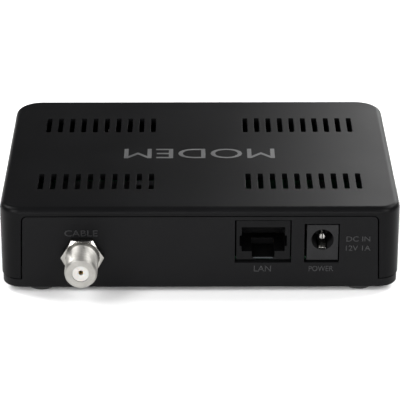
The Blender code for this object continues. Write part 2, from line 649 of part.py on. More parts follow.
def make_dc_jack():
    """Square-faced socket with a bored barrel, a centre pin and a leaf spring below it."""
    half = DC_FACE_WIDTH / 2
    bottom = BOARD_TOP_Z + FIT
    body_half = DC_BODY_WIDTH / 2
    back = DC_FACE_Y - DC_BODY_DEPTH
    housing = box("dc_jack_housing", (DC_X - half, DC_FACE_Y - DC_FLANGE_DEPTH, bottom),
                  (DC_X + half, DC_FACE_Y, DC_FACE_TOP_Z), SOCKET_GREY)
    barrel = rod("dc_barrel", body_half, (DC_X, back, DC_BORE_Z), DC_BODY_DEPTH - 1.0 * MM, "Y",
                 segments=24)
    skirt = box("dc_skirt", (DC_X - body_half, back, bottom),
                (DC_X + body_half, DC_FACE_Y - 1.0 * MM, DC_BORE_Z))
    bore = rod("dc_bore", DC_BORE_RADIUS, (DC_X, DC_FACE_Y - DC_BORE_DEPTH, DC_BORE_Z),
               DC_BORE_DEPTH + WALL, "Y", segments=32)
    channel = box("dc_channel", (DC_X - DC_CHANNEL_WIDTH / 2, DC_FACE_Y - DC_BORE_DEPTH,
                                 DC_CHANNEL_BOTTOM_Z),
                  (DC_X + DC_CHANNEL_WIDTH / 2, DC_FACE_Y - 0.5 * MM, DC_BORE_Z))
    join(housing, barrel, skirt)
    pin_hole = rod("dc_pin_hole", DC_PIN_RADIUS + FIT, (DC_X, back - WALL, DC_BORE_Z),
                   DC_BODY_DEPTH, "Y", segments=16)
    cut(housing, bore, channel, pin_hole)

    pin_back = back + 1.0 * MM
    pin_length = DC_FACE_Y - DC_PIN_RECESS - pin_back
    tip = 0.35 * MM
    turned("dc_jack_pin",
           [(0.0, pin_length), (DC_PIN_RADIUS - tip, pin_length),
            (DC_PIN_RADIUS, pin_length - tip), (DC_PIN_RADIUS, 0.0), (0.0, 0.0)],
           (DC_X, pin_back, DC_BORE_Z), NICKEL, steps=20)


def make_dc_spring():
    """Leaf contact: a bent strip fixed at the back of the bore, with its crest near the mouth."""
    hinge = bpy.data.objects.new("dc_spring_hinge", None)
    hinge.location = (DC_X, DC_SPRING_ROOT_Y, DC_SPRING_ROOT_Z)
    parts.objects.link(hinge)
    line = [(-0.2 * MM, 0.0), (2.5 * MM, 0.3 * MM), (5.2 * MM, 1.05 * MM),
            (6.6 * MM, 1.0 * MM), (8.3 * MM, 0.35 * MM)]
    builder = bmesh.new()
    lower = [builder.verts.new((-DC_SPRING_WIDTH / 2, y, z)) for y, z in line]
    upper = [builder.verts.new((-DC_SPRING_WIDTH / 2, y, z + DC_SPRING_THICKNESS))
             for y, z in reversed(line)]
    side = builder.faces.new(lower + upper)
    swept = bmesh.ops.extrude_face_region(builder, geom=[side])
    moved = [item for item in swept["geom"] if isinstance(item, bmesh.types.BMVert)]
    bmesh.ops.translate(builder, verts=moved, vec=(DC_SPRING_WIDTH, 0.0, 0.0))
    bmesh.ops.recalc_face_normals(builder, faces=builder.faces)
    spring = add_object("dc_jack_spring", builder, NICKEL)
    spring.parent = hinge


# ---------------------------------------------------------------- board and components

def make_board():
    """Board with corner notches for the cover's bosses, a port notch and screw holes."""
    board = box("main_board", (-BOARD_HALF_WIDTH, BOARD_FRONT_Y, BOARD_BOTTOM_Z),
                (BOARD_HALF_WIDTH, BOARD_REAR_Y, BOARD_TOP_Z), BOARD_GREEN)
    low_z = BOARD_BOTTOM_Z - WALL
    high_z = BOARD_TOP_Z + WALL
    reach = 2 * BOARD_NOTCH_X
    for x_side in (1, -1):
        for y_side, edge_y in ((1, BOARD_REAR_Y), (-1, BOARD_FRONT_Y)):
            xs = sorted((x_side * (BOARD_HALF_WIDTH - BOARD_NOTCH_X),
                         x_side * (BOARD_HALF_WIDTH + reach)))
            ys = sorted((edge_y - y_side * BOARD_NOTCH_Y, edge_y + y_side * reach))
            cut(board, box(f"board_corner_{x_side}_{y_side}", (xs[0], ys[0], low_z),
                           (xs[1], ys[1], high_z)))
    half = PORT_BLOCK_SIZE / 2 + FIT
    cut(board, box("board_port_notch", (PORT_X - half, PORT_BLOCK_REAR_Y - FIT, low_z),
                   (PORT_X + half, BOARD_REAR_Y + reach, high_z)))
    for place, x, y in corners(*POST_XY):
        cut(board, rod(f"board_hole_{place}", PILOT_RADIUS, (x, y, low_z), high_z - low_z,
                       segments=12))


def make_components():
    """Parts that stand on the board."""
    for (name, middle, size, edge), finish in (
            [(SHIELD, CAN_ALUMINIUM), (CRYSTAL, CAN_ALUMINIUM)]
            + [(component, CHIP_BLACK) for component in BLACK_COMPONENTS]):
        board_centred(name, [value * MM for value in middle], [value * MM for value in size],
                      finish, edge * MM)
    for number, (x, y) in enumerate(CAPACITOR_PLACES, start=1):
        can = rod(f"capacitor_{number}", CAPACITOR_RADIUS, (x * MM, y * MM, BOARD_TOP_Z + FIT),
                  CAPACITOR_HEIGHT, finish=CAN_ALUMINIUM, segments=16)
        bevel = can.modifiers.new("edge", "BEVEL")
        bevel.width = CAPACITOR_EDGE
        bevel.segments = 1
        bevel.limit_method = "ANGLE"


def make_heat_sink():
    """Finned aluminium block over the modem chip."""
    bottom_z = BOARD_TOP_Z + CHIP_HEIGHT + 2 * FIT
    half = SINK_WIDTH / 2
    sink = box("heat_sink", (-half, -half, bottom_z), (half, half, bottom_z + SINK_HEIGHT),
               CAN_ALUMINIUM)
    pitch = (SINK_WIDTH - FIN_THICKNESS) / (FIN_COUNT - 1)
    for index in range(FIN_COUNT - 1):
        start = -half + FIN_THICKNESS + index * pitch
        cut(sink, box(f"fin_gap_{index}", (start, -SINK_WIDTH, bottom_z + SINK_BASE),
                      (start + pitch - FIN_THICKNESS, SINK_WIDTH, bottom_z + 2 * SINK_HEIGHT)))


def make_front():
    """Smoked window in the front wall, the clear light pipe and the five lights."""
    half_width = FRONT_WINDOW_WIDTH / 2 - FIT
    half_height = FRONT_WINDOW_HEIGHT / 2 - FIT
    window_back = FRONT_Y + FRONT_WINDOW_THICKNESS
    box("front_window", (-half_width, FRONT_Y, FRONT_WINDOW_Z - half_height),
        (half_width, window_back, FRONT_WINDOW_Z + half_height), SMOKED_PLASTIC, 0.2 * MM)

    light_height = 1.0 * MM
    rod_start = window_back + FIT
    bar_back = LIGHT_Y + 1.5 * MM
    bar_bottom = BOARD_TOP_Z + 2 * FIT + light_height
    bar_top = FRONT_WINDOW_Z + LIGHT_ROD_RADIUS + 0.4 * MM
    reach = LIGHT_PITCH * (len(LIGHT_NAMES) - 1) / 2 + 2.0 * MM
    pipe = box("light_pipe", (-reach, LIGHT_Y - 1.5 * MM, bar_bottom), (reach, bar_back, bar_top),
               CLEAR_PLASTIC)
    for index, light in enumerate(LIGHT_NAMES):
        x = (index - (len(LIGHT_NAMES) - 1) / 2) * LIGHT_PITCH
        tip = rod(f"light_rod_{light}", LIGHT_ROD_RADIUS, (x, rod_start, FRONT_WINDOW_Z),
                  LIGHT_Y - rod_start, "Y", segments=12)
        join(pipe, tip)
        board_centred(f"led_{light}", (x, LIGHT_Y), (2.0 * MM, 1.25 * MM, light_height),
                      LIGHT_BODY)


def centre_on_origin():
    """Hang everything on one empty that centres the overall box, port included, in Y."""
    base = bpy.data.objects.new("cable_modem_base", None)
    base.location = (0.0, -(FRONT_Y + PORT_TIP_Y) / 2, 0.0)
    parts.objects.link(base)
    for made in list(parts.objects) + list(cutters.objects):
        if made is not base and made.parent is None:
            made.parent = base


make_cover()
make_tray()
make_feet()
make_screws()
make_label()
make_port()
make_lan_jack()
make_lan_contacts()
make_dc_jack()
make_dc_spring()
make_board()
make_components()
make_heat_sink()
make_front()
centre_on_origin()
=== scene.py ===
# %% [markdown]
# # A small cable modem, finished around its frame
# The modem is a flat black box. Its lights face the front (-Y), and its sockets sit in a panel
# at the back (+Y). The frame gives every piece its size and place in metres. This lesson
# models the pieces a person sees again, with rounder edges and finer detail, and then gives
# every piece, seen or not, a finish made of nodes.

# %% Load the frame
import math

import bmesh
import bpy
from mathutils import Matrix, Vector


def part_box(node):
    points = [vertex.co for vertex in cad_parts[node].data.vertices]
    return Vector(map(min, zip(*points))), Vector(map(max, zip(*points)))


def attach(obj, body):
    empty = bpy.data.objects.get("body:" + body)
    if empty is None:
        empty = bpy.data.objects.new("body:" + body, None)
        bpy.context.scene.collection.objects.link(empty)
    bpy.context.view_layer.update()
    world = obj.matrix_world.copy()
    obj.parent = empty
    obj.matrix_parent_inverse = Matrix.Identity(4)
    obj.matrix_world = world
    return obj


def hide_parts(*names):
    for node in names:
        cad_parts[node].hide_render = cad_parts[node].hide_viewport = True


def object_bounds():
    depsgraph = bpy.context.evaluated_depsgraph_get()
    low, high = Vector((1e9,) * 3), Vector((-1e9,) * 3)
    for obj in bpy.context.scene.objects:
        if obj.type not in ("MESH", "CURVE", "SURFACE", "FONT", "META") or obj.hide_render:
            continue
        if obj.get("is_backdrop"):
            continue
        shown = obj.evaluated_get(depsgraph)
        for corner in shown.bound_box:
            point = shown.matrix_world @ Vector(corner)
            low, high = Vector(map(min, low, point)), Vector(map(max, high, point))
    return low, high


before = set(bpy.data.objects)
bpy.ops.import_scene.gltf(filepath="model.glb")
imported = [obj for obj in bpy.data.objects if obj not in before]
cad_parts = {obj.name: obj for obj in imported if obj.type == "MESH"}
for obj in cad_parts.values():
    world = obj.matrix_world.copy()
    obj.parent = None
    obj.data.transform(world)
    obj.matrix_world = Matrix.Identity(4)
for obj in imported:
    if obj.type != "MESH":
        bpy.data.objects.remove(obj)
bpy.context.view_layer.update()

MM = 0.001

# %% [markdown]
# ## The camera
# A long lens keeps the sides of the box nearly parallel, as in a catalogue.
# It stands behind the modem, a little above it, and looks down on the sockets.

# %% Camera
CAMERA_PITCH = math.radians(24.5)
CAMERA_YAW = math.radians(-0.25)
camera_data = bpy.data.cameras.new("camera")
camera_data.lens = 201.83
camera_data.sensor_width = 36.0
camera = bpy.data.objects.new("camera", camera_data)
bpy.context.scene.collection.objects.link(camera)
camera.location = (2.52 * MM, 612.175 * MM, 292.85 * MM)
camera.rotation_euler = (math.pi / 2 - CAMERA_PITCH, 0.0, math.pi + CAMERA_YAW)
bpy.context.scene.camera = camera
print("camera height", round(camera.location.z / MM), "mm")

# %% [markdown]
# ## The studio
# The box is black, so what we see of it is mostly reflection: the light decides the picture.
# Two soft boxes stand behind the camera, left and right. They light the white floor, reach under
# the modem's edge and put a glint on each corner of the lid. Two more hang high at the sides,
# one lies low behind the camera, and one stands low beyond the modem, where the lid mirrors
# it as a slow gradient. The sky is white at the horizon, dark above it and grey overhead, so
# the lid stays dark.

# %% Floor and light
view = bpy.context.scene.view_settings
view.view_transform = "Standard"
view.look = "None"

bpy.ops.object.select_all(action="DESELECT")
FLOOR_RADIUS = 6.0
bpy.ops.mesh.primitive_circle_add(vertices=128, radius=FLOOR_RADIUS, fill_type="NGON",
                                  location=(0.0, 0.0, 0.0))
floor = bpy.context.object
floor.name = "studio_floor"
floor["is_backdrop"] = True


def soft_box(name, place, aim, width, height, power):
    """Hang a rectangular light at a place, facing a point."""
    data = bpy.data.lights.new(name, "AREA")
    data.shape = "RECTANGLE"
    data.size = width
    data.size_y = height
    data.energy = power
    light = bpy.data.objects.new(name, data)
    bpy.context.scene.collection.objects.link(light)
    light.location = place
    direction = Vector(aim) - Vector(place)
    light.rotation_euler = direction.to_track_quat("-Z", "Y").to_euler()
    light.visible_camera = False
    return light


soft_box("left_box", (0.8, 0.9, 0.72), (0.0, 0.0, 0.0), 0.5, 0.8, 17.5)
soft_box("right_box", (-0.8, 0.9, 0.72), (0.0, 0.0, 0.0), 0.5, 0.8, 14.0)
soft_box("high_left", (0.8, -0.35, 1.0), (0.0, -0.05, 0.0), 0.5, 0.5, 12.0)
soft_box("high_right", (-0.8, -0.35, 1.0), (0.0, -0.05, 0.0), 0.5, 0.5, 10.0)
soft_box("far_box", (-0.24, -0.45, 0.23), (-0.05, 0.0, 0.0), 0.34, 0.3, 1.75)
soft_box("low_box", (-0.07, 1.3, 0.2), (0.0, 0.0, 0.0), 0.9, 0.16, 6.0)

world = bpy.data.worlds.new("studio")
bpy.context.scene.world = world
world.use_nodes = True
tree = world.node_tree
heading = tree.nodes.new("ShaderNodeTexCoord")
split = tree.nodes.new("ShaderNodeSeparateXYZ")
fade = tree.nodes.new("ShaderNodeValToRGB")
tree.links.new(heading.outputs["Generated"], split.inputs["Vector"])
tree.links.new(split.outputs["Z"], fade.inputs["Fac"])
tree.links.new(fade.outputs["Color"], tree.nodes["Background"].inputs["Color"])
ramp = fade.color_ramp
ramp.elements[0].position = 0.02
ramp.elements[0].color = (1.0, 1.0, 1.0, 1.0)
ramp.elements[1].position = 0.12
ramp.elements[1].color = (0.10, 0.10, 0.102, 1.0)
for height, grey in ((0.62, 0.10), (0.85, 0.3)):
    ramp.elements.new(height).color = (grey, grey, grey, 1.0)

# %% [markdown]
# ## Finishes
# One recipe serves most surfaces. Object coordinates keep a pattern at its real scale. A broad
# noise moves the colour and the gloss a little, as handling and moulding do, and a fine noise
# drives the bump, as the texture of the mould or the marks of the tool do.

# %% A node recipe
materials = {}


def new_node(tree, kind, **values):
    """Add a node and set its inputs or properties by name."""
    node = tree.nodes.new(kind)
    for name, value in values.items():
        label = name.replace("_", " ")
        if label in node.inputs:
            node.inputs[label].default_value = value
        else:
            setattr(node, name, value)
    return node


def surface(name, dark, light, rough, patch, grain, bump, metallic=0.0, stretch=(1, 1, 1), **sockets):
    """Make a finish: dark and light ends of its colour, low and high ends of its roughness.

    patch and grain are the sizes, in millimetres, of the broad and the fine pattern. bump is
    the height of the fine pattern in millimetres, and stretch squeezes it along an axis.
    """
    made = bpy.data.materials.new(name)
    made.use_nodes = True
    tree = made.node_tree
    shader = tree.nodes["Principled BSDF"]
    shader.inputs["Metallic"].default_value = metallic
    for label, value in sockets.items():
        shader.inputs[label.replace("_", " ")].default_value = value
    place = new_node(tree, "ShaderNodeTexCoord")
    squeeze = new_node(tree, "ShaderNodeMapping", Scale=stretch)
    tree.links.new(place.outputs["Object"], squeeze.inputs["Vector"])

    broad = new_node(tree, "ShaderNodeTexNoise", Scale=1 / (patch * MM), Detail=3.0, Roughness=0.55)
    tree.links.new(squeeze.outputs["Vector"], broad.inputs["Vector"])
    tint = new_node(tree, "ShaderNodeValToRGB")
    tint.color_ramp.elements[0].position = 0.3
    tint.color_ramp.elements[0].color = (*dark, 1.0)
    tint.color_ramp.elements[1].position = 0.7
    tint.color_ramp.elements[1].color = (*light, 1.0)
    tree.links.new(broad.outputs["Fac"], tint.inputs["Fac"])
    tree.links.new(tint.outputs["Color"], shader.inputs["Base Color"])
    gloss = new_node(tree, "ShaderNodeMapRange", From_Min=0.3, From_Max=0.7, To_Min=rough[0],
                     To_Max=rough[1])
    tree.links.new(broad.outputs["Fac"], gloss.inputs["Value"])
    tree.links.new(gloss.outputs["Result"], shader.inputs["Roughness"])

    fine = new_node(tree, "ShaderNodeTexNoise", Scale=1 / (grain * MM), Detail=2.0, Roughness=0.5)
    tree.links.new(squeeze.outputs["Vector"], fine.inputs["Vector"])
    relief = new_node(tree, "ShaderNodeBump", Strength=1.0, Distance=bump * MM)
    tree.links.new(fine.outputs["Fac"], relief.inputs["Height"])
    tree.links.new(relief.outputs["Normal"], shader.inputs["Normal"])
    materials[name] = made
    return made


surface("studio_white", (0.92, 0.92, 0.92), (0.95, 0.95, 0.95), (0.8, 0.9), 400.0, 20.0, 0.02)
floor.data.materials.append(materials["studio_white"])

# %% [markdown]
# ## Moulded black plastic
# The case is black ABS with a fine satin texture from the mould. Its colour hardly changes;
# what changes is the gloss. The two sockets are glass-filled nylon, a shade greyer and duller,
# and the feet are soft rubber that scatters light.

# %% Black finishes
surface("satin_black", (0.0015, 0.0015, 0.0017), (0.0023, 0.0023, 0.0026), (0.37, 0.42), 22.0, 0.45,
        0.004, Specular_IOR_Level=0.06)
surface("tray_black", (0.0026, 0.0026, 0.0029), (0.0034, 0.0034, 0.0037), (0.4, 0.45), 22.0, 0.4,
        0.005, Specular_IOR_Level=0.068)
# Raised letters: the same black plastic, made glossier, with a lighter base colour that paints the glints
# their edges catch.
surface("letter_painted_glint", (0.004, 0.004, 0.0043), (0.015, 0.015, 0.016), (0.28, 0.36), 1.2, 0.3,
        0.003, Specular_IOR_Level=0.3)
surface("socket_black", (0.0012, 0.0012, 0.0014), (0.0018, 0.0018, 0.0021), (0.42, 0.5), 6.0, 0.3,
        0.005, Specular_IOR_Level=0.08)
surface("socket_grey", (0.0075, 0.0075, 0.008), (0.0105, 0.0105, 0.011), (0.42, 0.5), 6.0, 0.3,
        0.005, Specular_IOR_Level=0.1)
# Latch lip: a lighter, glossier copy of the socket plastic, whose colour paints the highlight the lip
# catches.
surface("lip_painted_highlight", (0.01, 0.0125, 0.0145), (0.014, 0.017, 0.0195), (0.3, 0.4), 2.0, 0.3, 0.003,
        Specular_IOR_Level=0.25)
surface("foot_rubber", (0.008, 0.008, 0.008), (0.014, 0.014, 0.014), (0.7, 0.85), 3.0, 0.25, 0.02)
surface("light_grey_ink", (0.042, 0.042, 0.043), (0.055, 0.055, 0.056), (0.35, 0.5), 4.0, 0.2, 0.002)
surface("smoked_plastic", (0.004, 0.004, 0.005), (0.006, 0.006, 0.007), (0.06, 0.1), 14.0, 2.0,
        0.001, Coat_Weight=0.4)
print(len(materials), "finishes so far")

# %% [markdown]
# ## Metals
# The port is nickel over brass: bright, slightly warm, with faint turning marks that run round
# it. The mapping squeezes the noise along the axis, so the marks become thin rings. Gold,
# brass, tinned steel and aluminium use the same recipe with their own colour and grain.

# %% Metal finishes
surface("bright_nickel", (0.24, 0.233, 0.218), (0.31, 0.302, 0.283), (0.16, 0.24), 2.5, 0.5,
        0.003, metallic=1.0, stretch=(1, 8, 1))
surface("satin_nickel", (0.225, 0.219, 0.205), (0.29, 0.283, 0.266), (0.36, 0.44), 2.5, 0.5,
        0.004, metallic=1.0, stretch=(1, 8, 1))
surface("contact_gold", (0.72, 0.46, 0.14), (0.86, 0.62, 0.24), (0.18, 0.28), 1.5, 0.3,
        0.002, metallic=1.0)
surface("contact_brass", (0.55, 0.36, 0.13), (0.72, 0.50, 0.22), (0.25, 0.38), 1.5, 0.3,
        0.003, metallic=1.0)
surface("screw_steel", (0.42, 0.42, 0.43), (0.58, 0.58, 0.6), (0.28, 0.42), 1.2, 0.2,
        0.004, metallic=1.0)
surface("drawn_aluminium", (0.55, 0.56, 0.58), (0.68, 0.69, 0.72), (0.28, 0.4), 3.0, 0.25,
        0.006, metallic=1.0, stretch=(1, 9, 1))
surface("shield_tin", (0.1, 0.1, 0.1), (0.16, 0.16, 0.16), (0.4, 0.5), 3.0, 0.25,
        0.006, metallic=1.0)
surface("spring_nickel", (0.24, 0.234, 0.222), (0.32, 0.313, 0.3), (0.25, 0.35), 1.5, 0.3,
        0.002, metallic=1.0, stretch=(6, 1, 1))

# %% [markdown]
# ## The rest of the finishes
# These are for the pieces inside, and for the white plastic in the port.

# %% Other finishes
surface("white_dielectric", (0.31, 0.302, 0.284), (0.36, 0.352, 0.336), (0.35, 0.5), 2.0, 0.3,
        0.004, Subsurface_Weight=0.15, Subsurface_Scale=0.0006)
surface("chip_epoxy", (0.012, 0.012, 0.013), (0.022, 0.022, 0.023), (0.42, 0.6), 1.2, 0.12, 0.008)
surface("clear_acrylic", (0.85, 0.88, 0.9), (0.93, 0.95, 0.96), (0.08, 0.16), 4.0, 0.8,
        0.002, Transmission_Weight=0.9, IOR=1.49)
surface("milky_lens", (0.2, 0.21, 0.22), (0.26, 0.27, 0.28), (0.25, 0.35), 1.0, 0.3,
        0.002, Subsurface_Weight=0.3, Subsurface_Scale=0.0004)
surface("sign_ink", (0.5, 0.5, 0.51), (0.58, 0.58, 0.59), (0.4, 0.5), 1.0, 0.2, 0.001)
surface("lamp_body", (0.72, 0.70, 0.52), (0.84, 0.82, 0.66), (0.25, 0.35), 0.8, 0.2, 0.003)
surface("label_film", (0.42, 0.42, 0.43), (0.5, 0.5, 0.51), (0.45, 0.55), 8.0, 0.4, 0.002)


def board_finish():
    """Green solder mask over copper: straight traces show through as a paler, raised pattern."""
    made = bpy.data.materials.new("board_mask")
    made.use_nodes = True
    tree = made.node_tree
    shader = tree.nodes["Principled BSDF"]
    shader.inputs["Coat Weight"].default_value = 0.3
    place = new_node(tree, "ShaderNodeTexCoord")
    traces = new_node(tree, "ShaderNodeTexBrick", Scale=420.0, Mortar_Size=0.012, Mortar_Smooth=0.1,
                      Brick_Width=3.1, Row_Height=0.55, offset=0.37, squash=0.6, squash_frequency=3)
    traces.inputs["Color1"].default_value = (0.003, 0.034, 0.013, 1.0)
    traces.inputs["Color2"].default_value = (0.004, 0.042, 0.016, 1.0)
    traces.inputs["Mortar"].default_value = (0.009, 0.075, 0.03, 1.0)
    tree.links.new(place.outputs["Object"], traces.inputs["Vector"])
    tree.links.new(traces.outputs["Color"], shader.inputs["Base Color"])
    gloss = new_node(tree, "ShaderNodeTexNoise", Scale=300.0, Detail=2.0)
    spread = new_node(tree, "ShaderNodeMapRange", To_Min=0.25, To_Max=0.45)
    tree.links.new(place.outputs["Object"], gloss.inputs["Vector"])
    tree.links.new(gloss.outputs["Fac"], spread.inputs["Value"])
    tree.links.new(spread.outputs["Result"], shader.inputs["Roughness"])
    relief = new_node(tree, "ShaderNodeBump", Strength=1.0, Distance=0.03 * MM)
    tree.links.new(traces.outputs["Fac"], relief.inputs["Height"])
    tree.links.new(relief.outputs["Normal"], shader.inputs["Normal"])
    materials["board_mask"] = made


board_finish()
print(len(materials), "finishes in all")

# %% [markdown]
# ## Working by hand
# These helpers do what a hand does in the viewport: pick one object, add a block or a drum at
# its size and place, pick edges or faces by where they are, bevel them, and cut one shape with
# another. Everything is deselected first, because an operator acts on all that is selected.

# %% Modelling helpers
def only(made):
    """Select one object alone and make it the active one."""
    bpy.ops.object.select_all(action="DESELECT")
    made.select_set(True)
    bpy.context.view_layer.objects.active = made


def settle(made):
    """Put an object's place, turn and size into its mesh."""
    only(made)
    bpy.ops.object.transform_apply(location=True, rotation=True, scale=True)
    return made


def block(name, low, high):
    """Add a cube between two corners."""
    bpy.ops.object.select_all(action="DESELECT")
    centre = [(a + b) / 2 for a, b in zip(low, high)]
    size = [b - a for a, b in zip(low, high)]
    bpy.ops.mesh.primitive_cube_add(size=1.0, location=centre, scale=size)
    made = bpy.context.object
    made.name = name
    return settle(made)


ALONG = {"Z": (0.0, 0.0, 0.0), "Y": (-math.pi / 2, 0.0, 0.0)}


def drum(name, radius, start, length, axis="Z", sides=64, end_radius=None):
    """Add a cylinder, or a cone if its far radius is given, from a start point along one axis."""
    bpy.ops.object.select_all(action="DESELECT")
    centre = Vector(start)
    centre["XYZ".index(axis)] += length / 2
    far = radius if end_radius is None else end_radius
    bpy.ops.mesh.primitive_cone_add(vertices=sides, radius1=radius, radius2=far, depth=length,
                                    location=centre, rotation=ALONG[axis])
    made = bpy.context.object
    made.name = name
    return settle(made)


def pick(made, kind, test):
    """Enter edit mode and select the edges or faces that pass a test. Returns how many."""
    only(made)
    bpy.ops.object.mode_set(mode="EDIT")
    bpy.ops.mesh.select_mode(type=kind)
    bpy.ops.mesh.select_all(action="DESELECT")
    shape = bmesh.from_edit_mesh(made.data)
    chosen = [item for item in (shape.edges if kind == "EDGE" else shape.faces) if test(item)]
    for item in chosen:
        item.select_set(True)
    bmesh.update_edit_mesh(made.data)
    return len(chosen)


def leave():
    """Go back to object mode."""
    bpy.ops.object.mode_set(mode="OBJECT")


def on_plane(axis, value, near=1e-5):
    """A test: every corner of the item lies on one plane across an axis (0, 1 or 2)."""
    return lambda item: all(abs(vert.co[axis] - value) < near for vert in item.verts)


def upright(item):
    """A test: an edge that runs straight up."""
    a, b = (vert.co for vert in item.verts)
    return abs(a.x - b.x) < 1e-6 and abs(a.y - b.y) < 1e-6


def round_edges(made, test, width, segments):
    """Bevel the edges that pass a test."""
    count = pick(made, "EDGE", test)
    bpy.ops.mesh.bevel(offset=width, segments=segments, profile=0.5, affect="EDGES", clamp_overlap=False)
    leave()
    return count


def carve(made, tool, operation="DIFFERENCE"):
    """Cut, add or keep the overlap of another shape, then throw that shape away."""
    only(made)
    step = made.modifiers.new("carve", "BOOLEAN")
    step.operation = operation
    step.solver = "EXACT"
    step.object = tool
    bpy.ops.object.modifier_apply(modifier=step.name)
    bpy.data.objects.remove(tool)
    return made


def gather(name, pieces):
    """Join separate shapes into one object."""
    only(pieces[0])
    for piece in pieces:
        piece.select_set(True)
    bpy.ops.object.join()
    pieces[0].name = name
    return pieces[0]


def repeat(made, count, step):
    """Repeat a shape in a row with an array, and apply it."""
    only(made)
    row = made.modifiers.new("row", "ARRAY")
    row.count = count
    row.use_relative_offset = False
    row.use_constant_offset = True
    row.constant_offset_displace = step
    bpy.ops.object.modifier_apply(modifier=row.name)
    return made


def soften(made, width, segments=2, angle=32.0):
    """Break every sharp edge with a small bevel."""
    only(made)
    edge = made.modifiers.new("edge", "BEVEL")
    edge.width = width
    edge.segments = segments
    edge.limit_method = "ANGLE"
    edge.angle_limit = math.radians(angle)
    edge.miter_outer = "MITER_ARC"
    bpy.ops.object.modifier_apply(modifier=edge.name)
    return made


def complete(made, body, slot, finish, *nodes, angle=32.0):
    """Shade a piece, give it its finish, and hang it on its body in place of its CAD nodes."""
    settle(made)
    bpy.ops.object.shade_smooth_by_angle(angle=math.radians(angle))
    even = made.modifiers.new("even", "WEIGHTED_NORMAL")
    even.keep_sharp = True
    bpy.ops.object.modifier_apply(modifier=even.name)
    made.data.materials.clear()
    made.data.materials.append(materials[finish])
    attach(made, body)
    if nodes:
        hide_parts(*nodes)
    print(made.name, "has", len(made.data.polygons), "faces")
    return made


# %% [markdown]
# ## The cover
# The real cover is one thin moulding: a lid with walls, open below. We start from a block,
# round its corners and its top edge, then inset the bottom face and push it up inside, which
# leaves one even wall. Rounding first matters: the inset then follows the round corners.

# %% Cover shell
cover_low, cover_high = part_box("top_cover")
WALL = 2.0 * MM
REAR_CORNER = 6.0 * MM
FRONT_CORNER = 8.0 * MM
LID_EDGE = 1.8 * MM

cover = block("cover_shell", cover_low, cover_high)
for is_rear, radius in ((True, REAR_CORNER), (False, FRONT_CORNER)):
    round_edges(cover, lambda edge: upright(edge) and (edge.verts[0].co.y > 0.0) == is_rear
                and abs(abs(edge.verts[0].co.x) - cover_high.x) < 1e-6, radius, 14)
print("lid rim:", round_edges(cover, on_plane(2, cover_high.z), LID_EDGE, 7), "edges")
pick(cover, "FACE", on_plane(2, cover_low.z))
bpy.ops.mesh.inset(thickness=WALL)
bpy.ops.mesh.extrude_region_move(
    TRANSFORM_OT_translate={"value": (0.0, 0.0, cover_high.z - cover_low.z - WALL)})
leave()

# %% [markdown]
# ## Screw bosses, window and vents
# Four posts inside the lid take the case screws. The rear wall has a wide window for the
# socket panel, and the lid has forty narrow vents. One vent is a block with round corners,
# repeated in rows, and the whole set is cut in one go.

# %% Cover openings
foot_low, foot_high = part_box("foot_rear_left")
FOOT_X = (foot_low.x + foot_high.x) / 2
FOOT_YS = [sum(v.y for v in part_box(name)) / 2 for name in ("foot_rear_left", "foot_front_left")]
BOSS_BOTTOM = 8.4 * MM
BOSS_RADIUS = 3.2 * MM
PILOT = 1.45 * MM
PILOT_TOP = 15.0 * MM
corners = [(side * FOOT_X, y) for side in (1, -1) for y in FOOT_YS]
carve(cover, gather("bosses", [drum("boss", BOSS_RADIUS, (x, y, BOSS_BOTTOM),
                                    cover_high.z - WALL / 2 - BOSS_BOTTOM, sides=32)
                               for x, y in corners]), "UNION")
carve(cover, gather("pilots", [drum("pilot", PILOT, (x, y, BOSS_BOTTOM - WALL),
                                    PILOT_TOP - BOSS_BOTTOM + WALL, sides=24)
                               for x, y in corners]))

WINDOW_HALF = 50.9 * MM
WINDOW_TOP = cover_high.z - 2.4 * MM
WINDOW_CORNER = 1.7 * MM
WINDOW_FLARE = 0.6 * MM / (WINDOW_TOP - cover_low.z)


def window_block(name, half, corner, front, back, bottom, top):
    """A block with two round top corners, whose sides spread a little towards the foot."""
    made = block(name, (-half, front, bottom), (half, back, top))
    round_edges(made, lambda edge: on_plane(2, top)(edge)
                and abs(edge.verts[0].co.x - edge.verts[1].co.x) < 1e-6, corner, 8)
    for vert in made.data.vertices:
        if vert.co.z - bottom < 0.1 * MM:
            vert.co.x *= 1.0 + WINDOW_FLARE * (top - bottom) / half
    return made


carve(cover, window_block("rear_window", WINDOW_HALF, WINDOW_CORNER, cover_high.y - WALL - 0.3 * MM,
                          cover_high.y + WALL, cover_low.z - WALL, WINDOW_TOP))

status_low, status_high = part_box("front_window")
ROOM = 0.04 * MM
carve(cover, block("front_opening", (status_low.x - ROOM, cover_low.y - WALL, status_low.z - ROOM),
                   (status_high.x + ROOM, cover_low.y + 2 * WALL, status_high.z + ROOM)))

VENT_LENGTH = 10.9 * MM
VENT_WIDTH = 1.55 * MM
VENT_CORNER = 0.5 * MM
VENT_PITCH = 3.567 * MM
VENT_FIRST = 14.1 * MM
VENTS_IN_ROW = 10
VENT_REAR_Y = cover_high.y - 19.15 * MM
VENT_ROWS_APART = 42.4 * MM
vents = block("vents", (VENT_FIRST - VENT_WIDTH / 2, VENT_REAR_Y - VENT_LENGTH / 2, cover_high.z - 2 * WALL),
              (VENT_FIRST + VENT_WIDTH / 2, VENT_REAR_Y + VENT_LENGTH / 2, cover_high.z + WALL))
round_edges(vents, upright, VENT_CORNER, 4)
repeat(vents, VENTS_IN_ROW, (VENT_PITCH, 0.0, 0.0))
repeat(vents, 2, (-2 * VENT_FIRST - (VENTS_IN_ROW - 1) * VENT_PITCH, 0.0, 0.0))
repeat(vents, 2, (0.0, -VENT_ROWS_APART, 0.0))
carve(cover, vents)
soften(cover, 0.12 * MM)
complete(cover, "case", "case_plastic", "satin_black", "top_cover")

# %% [markdown]
# ## The tray and its socket panel
# The tray is the lower half. Its lip goes up inside the cover, and the socket panel is moulded
# on its rear edge, standing in the cover's window with a thin gap all round. The lip comes
# from one inset and one extrude, and the floor from another inset pushed down.

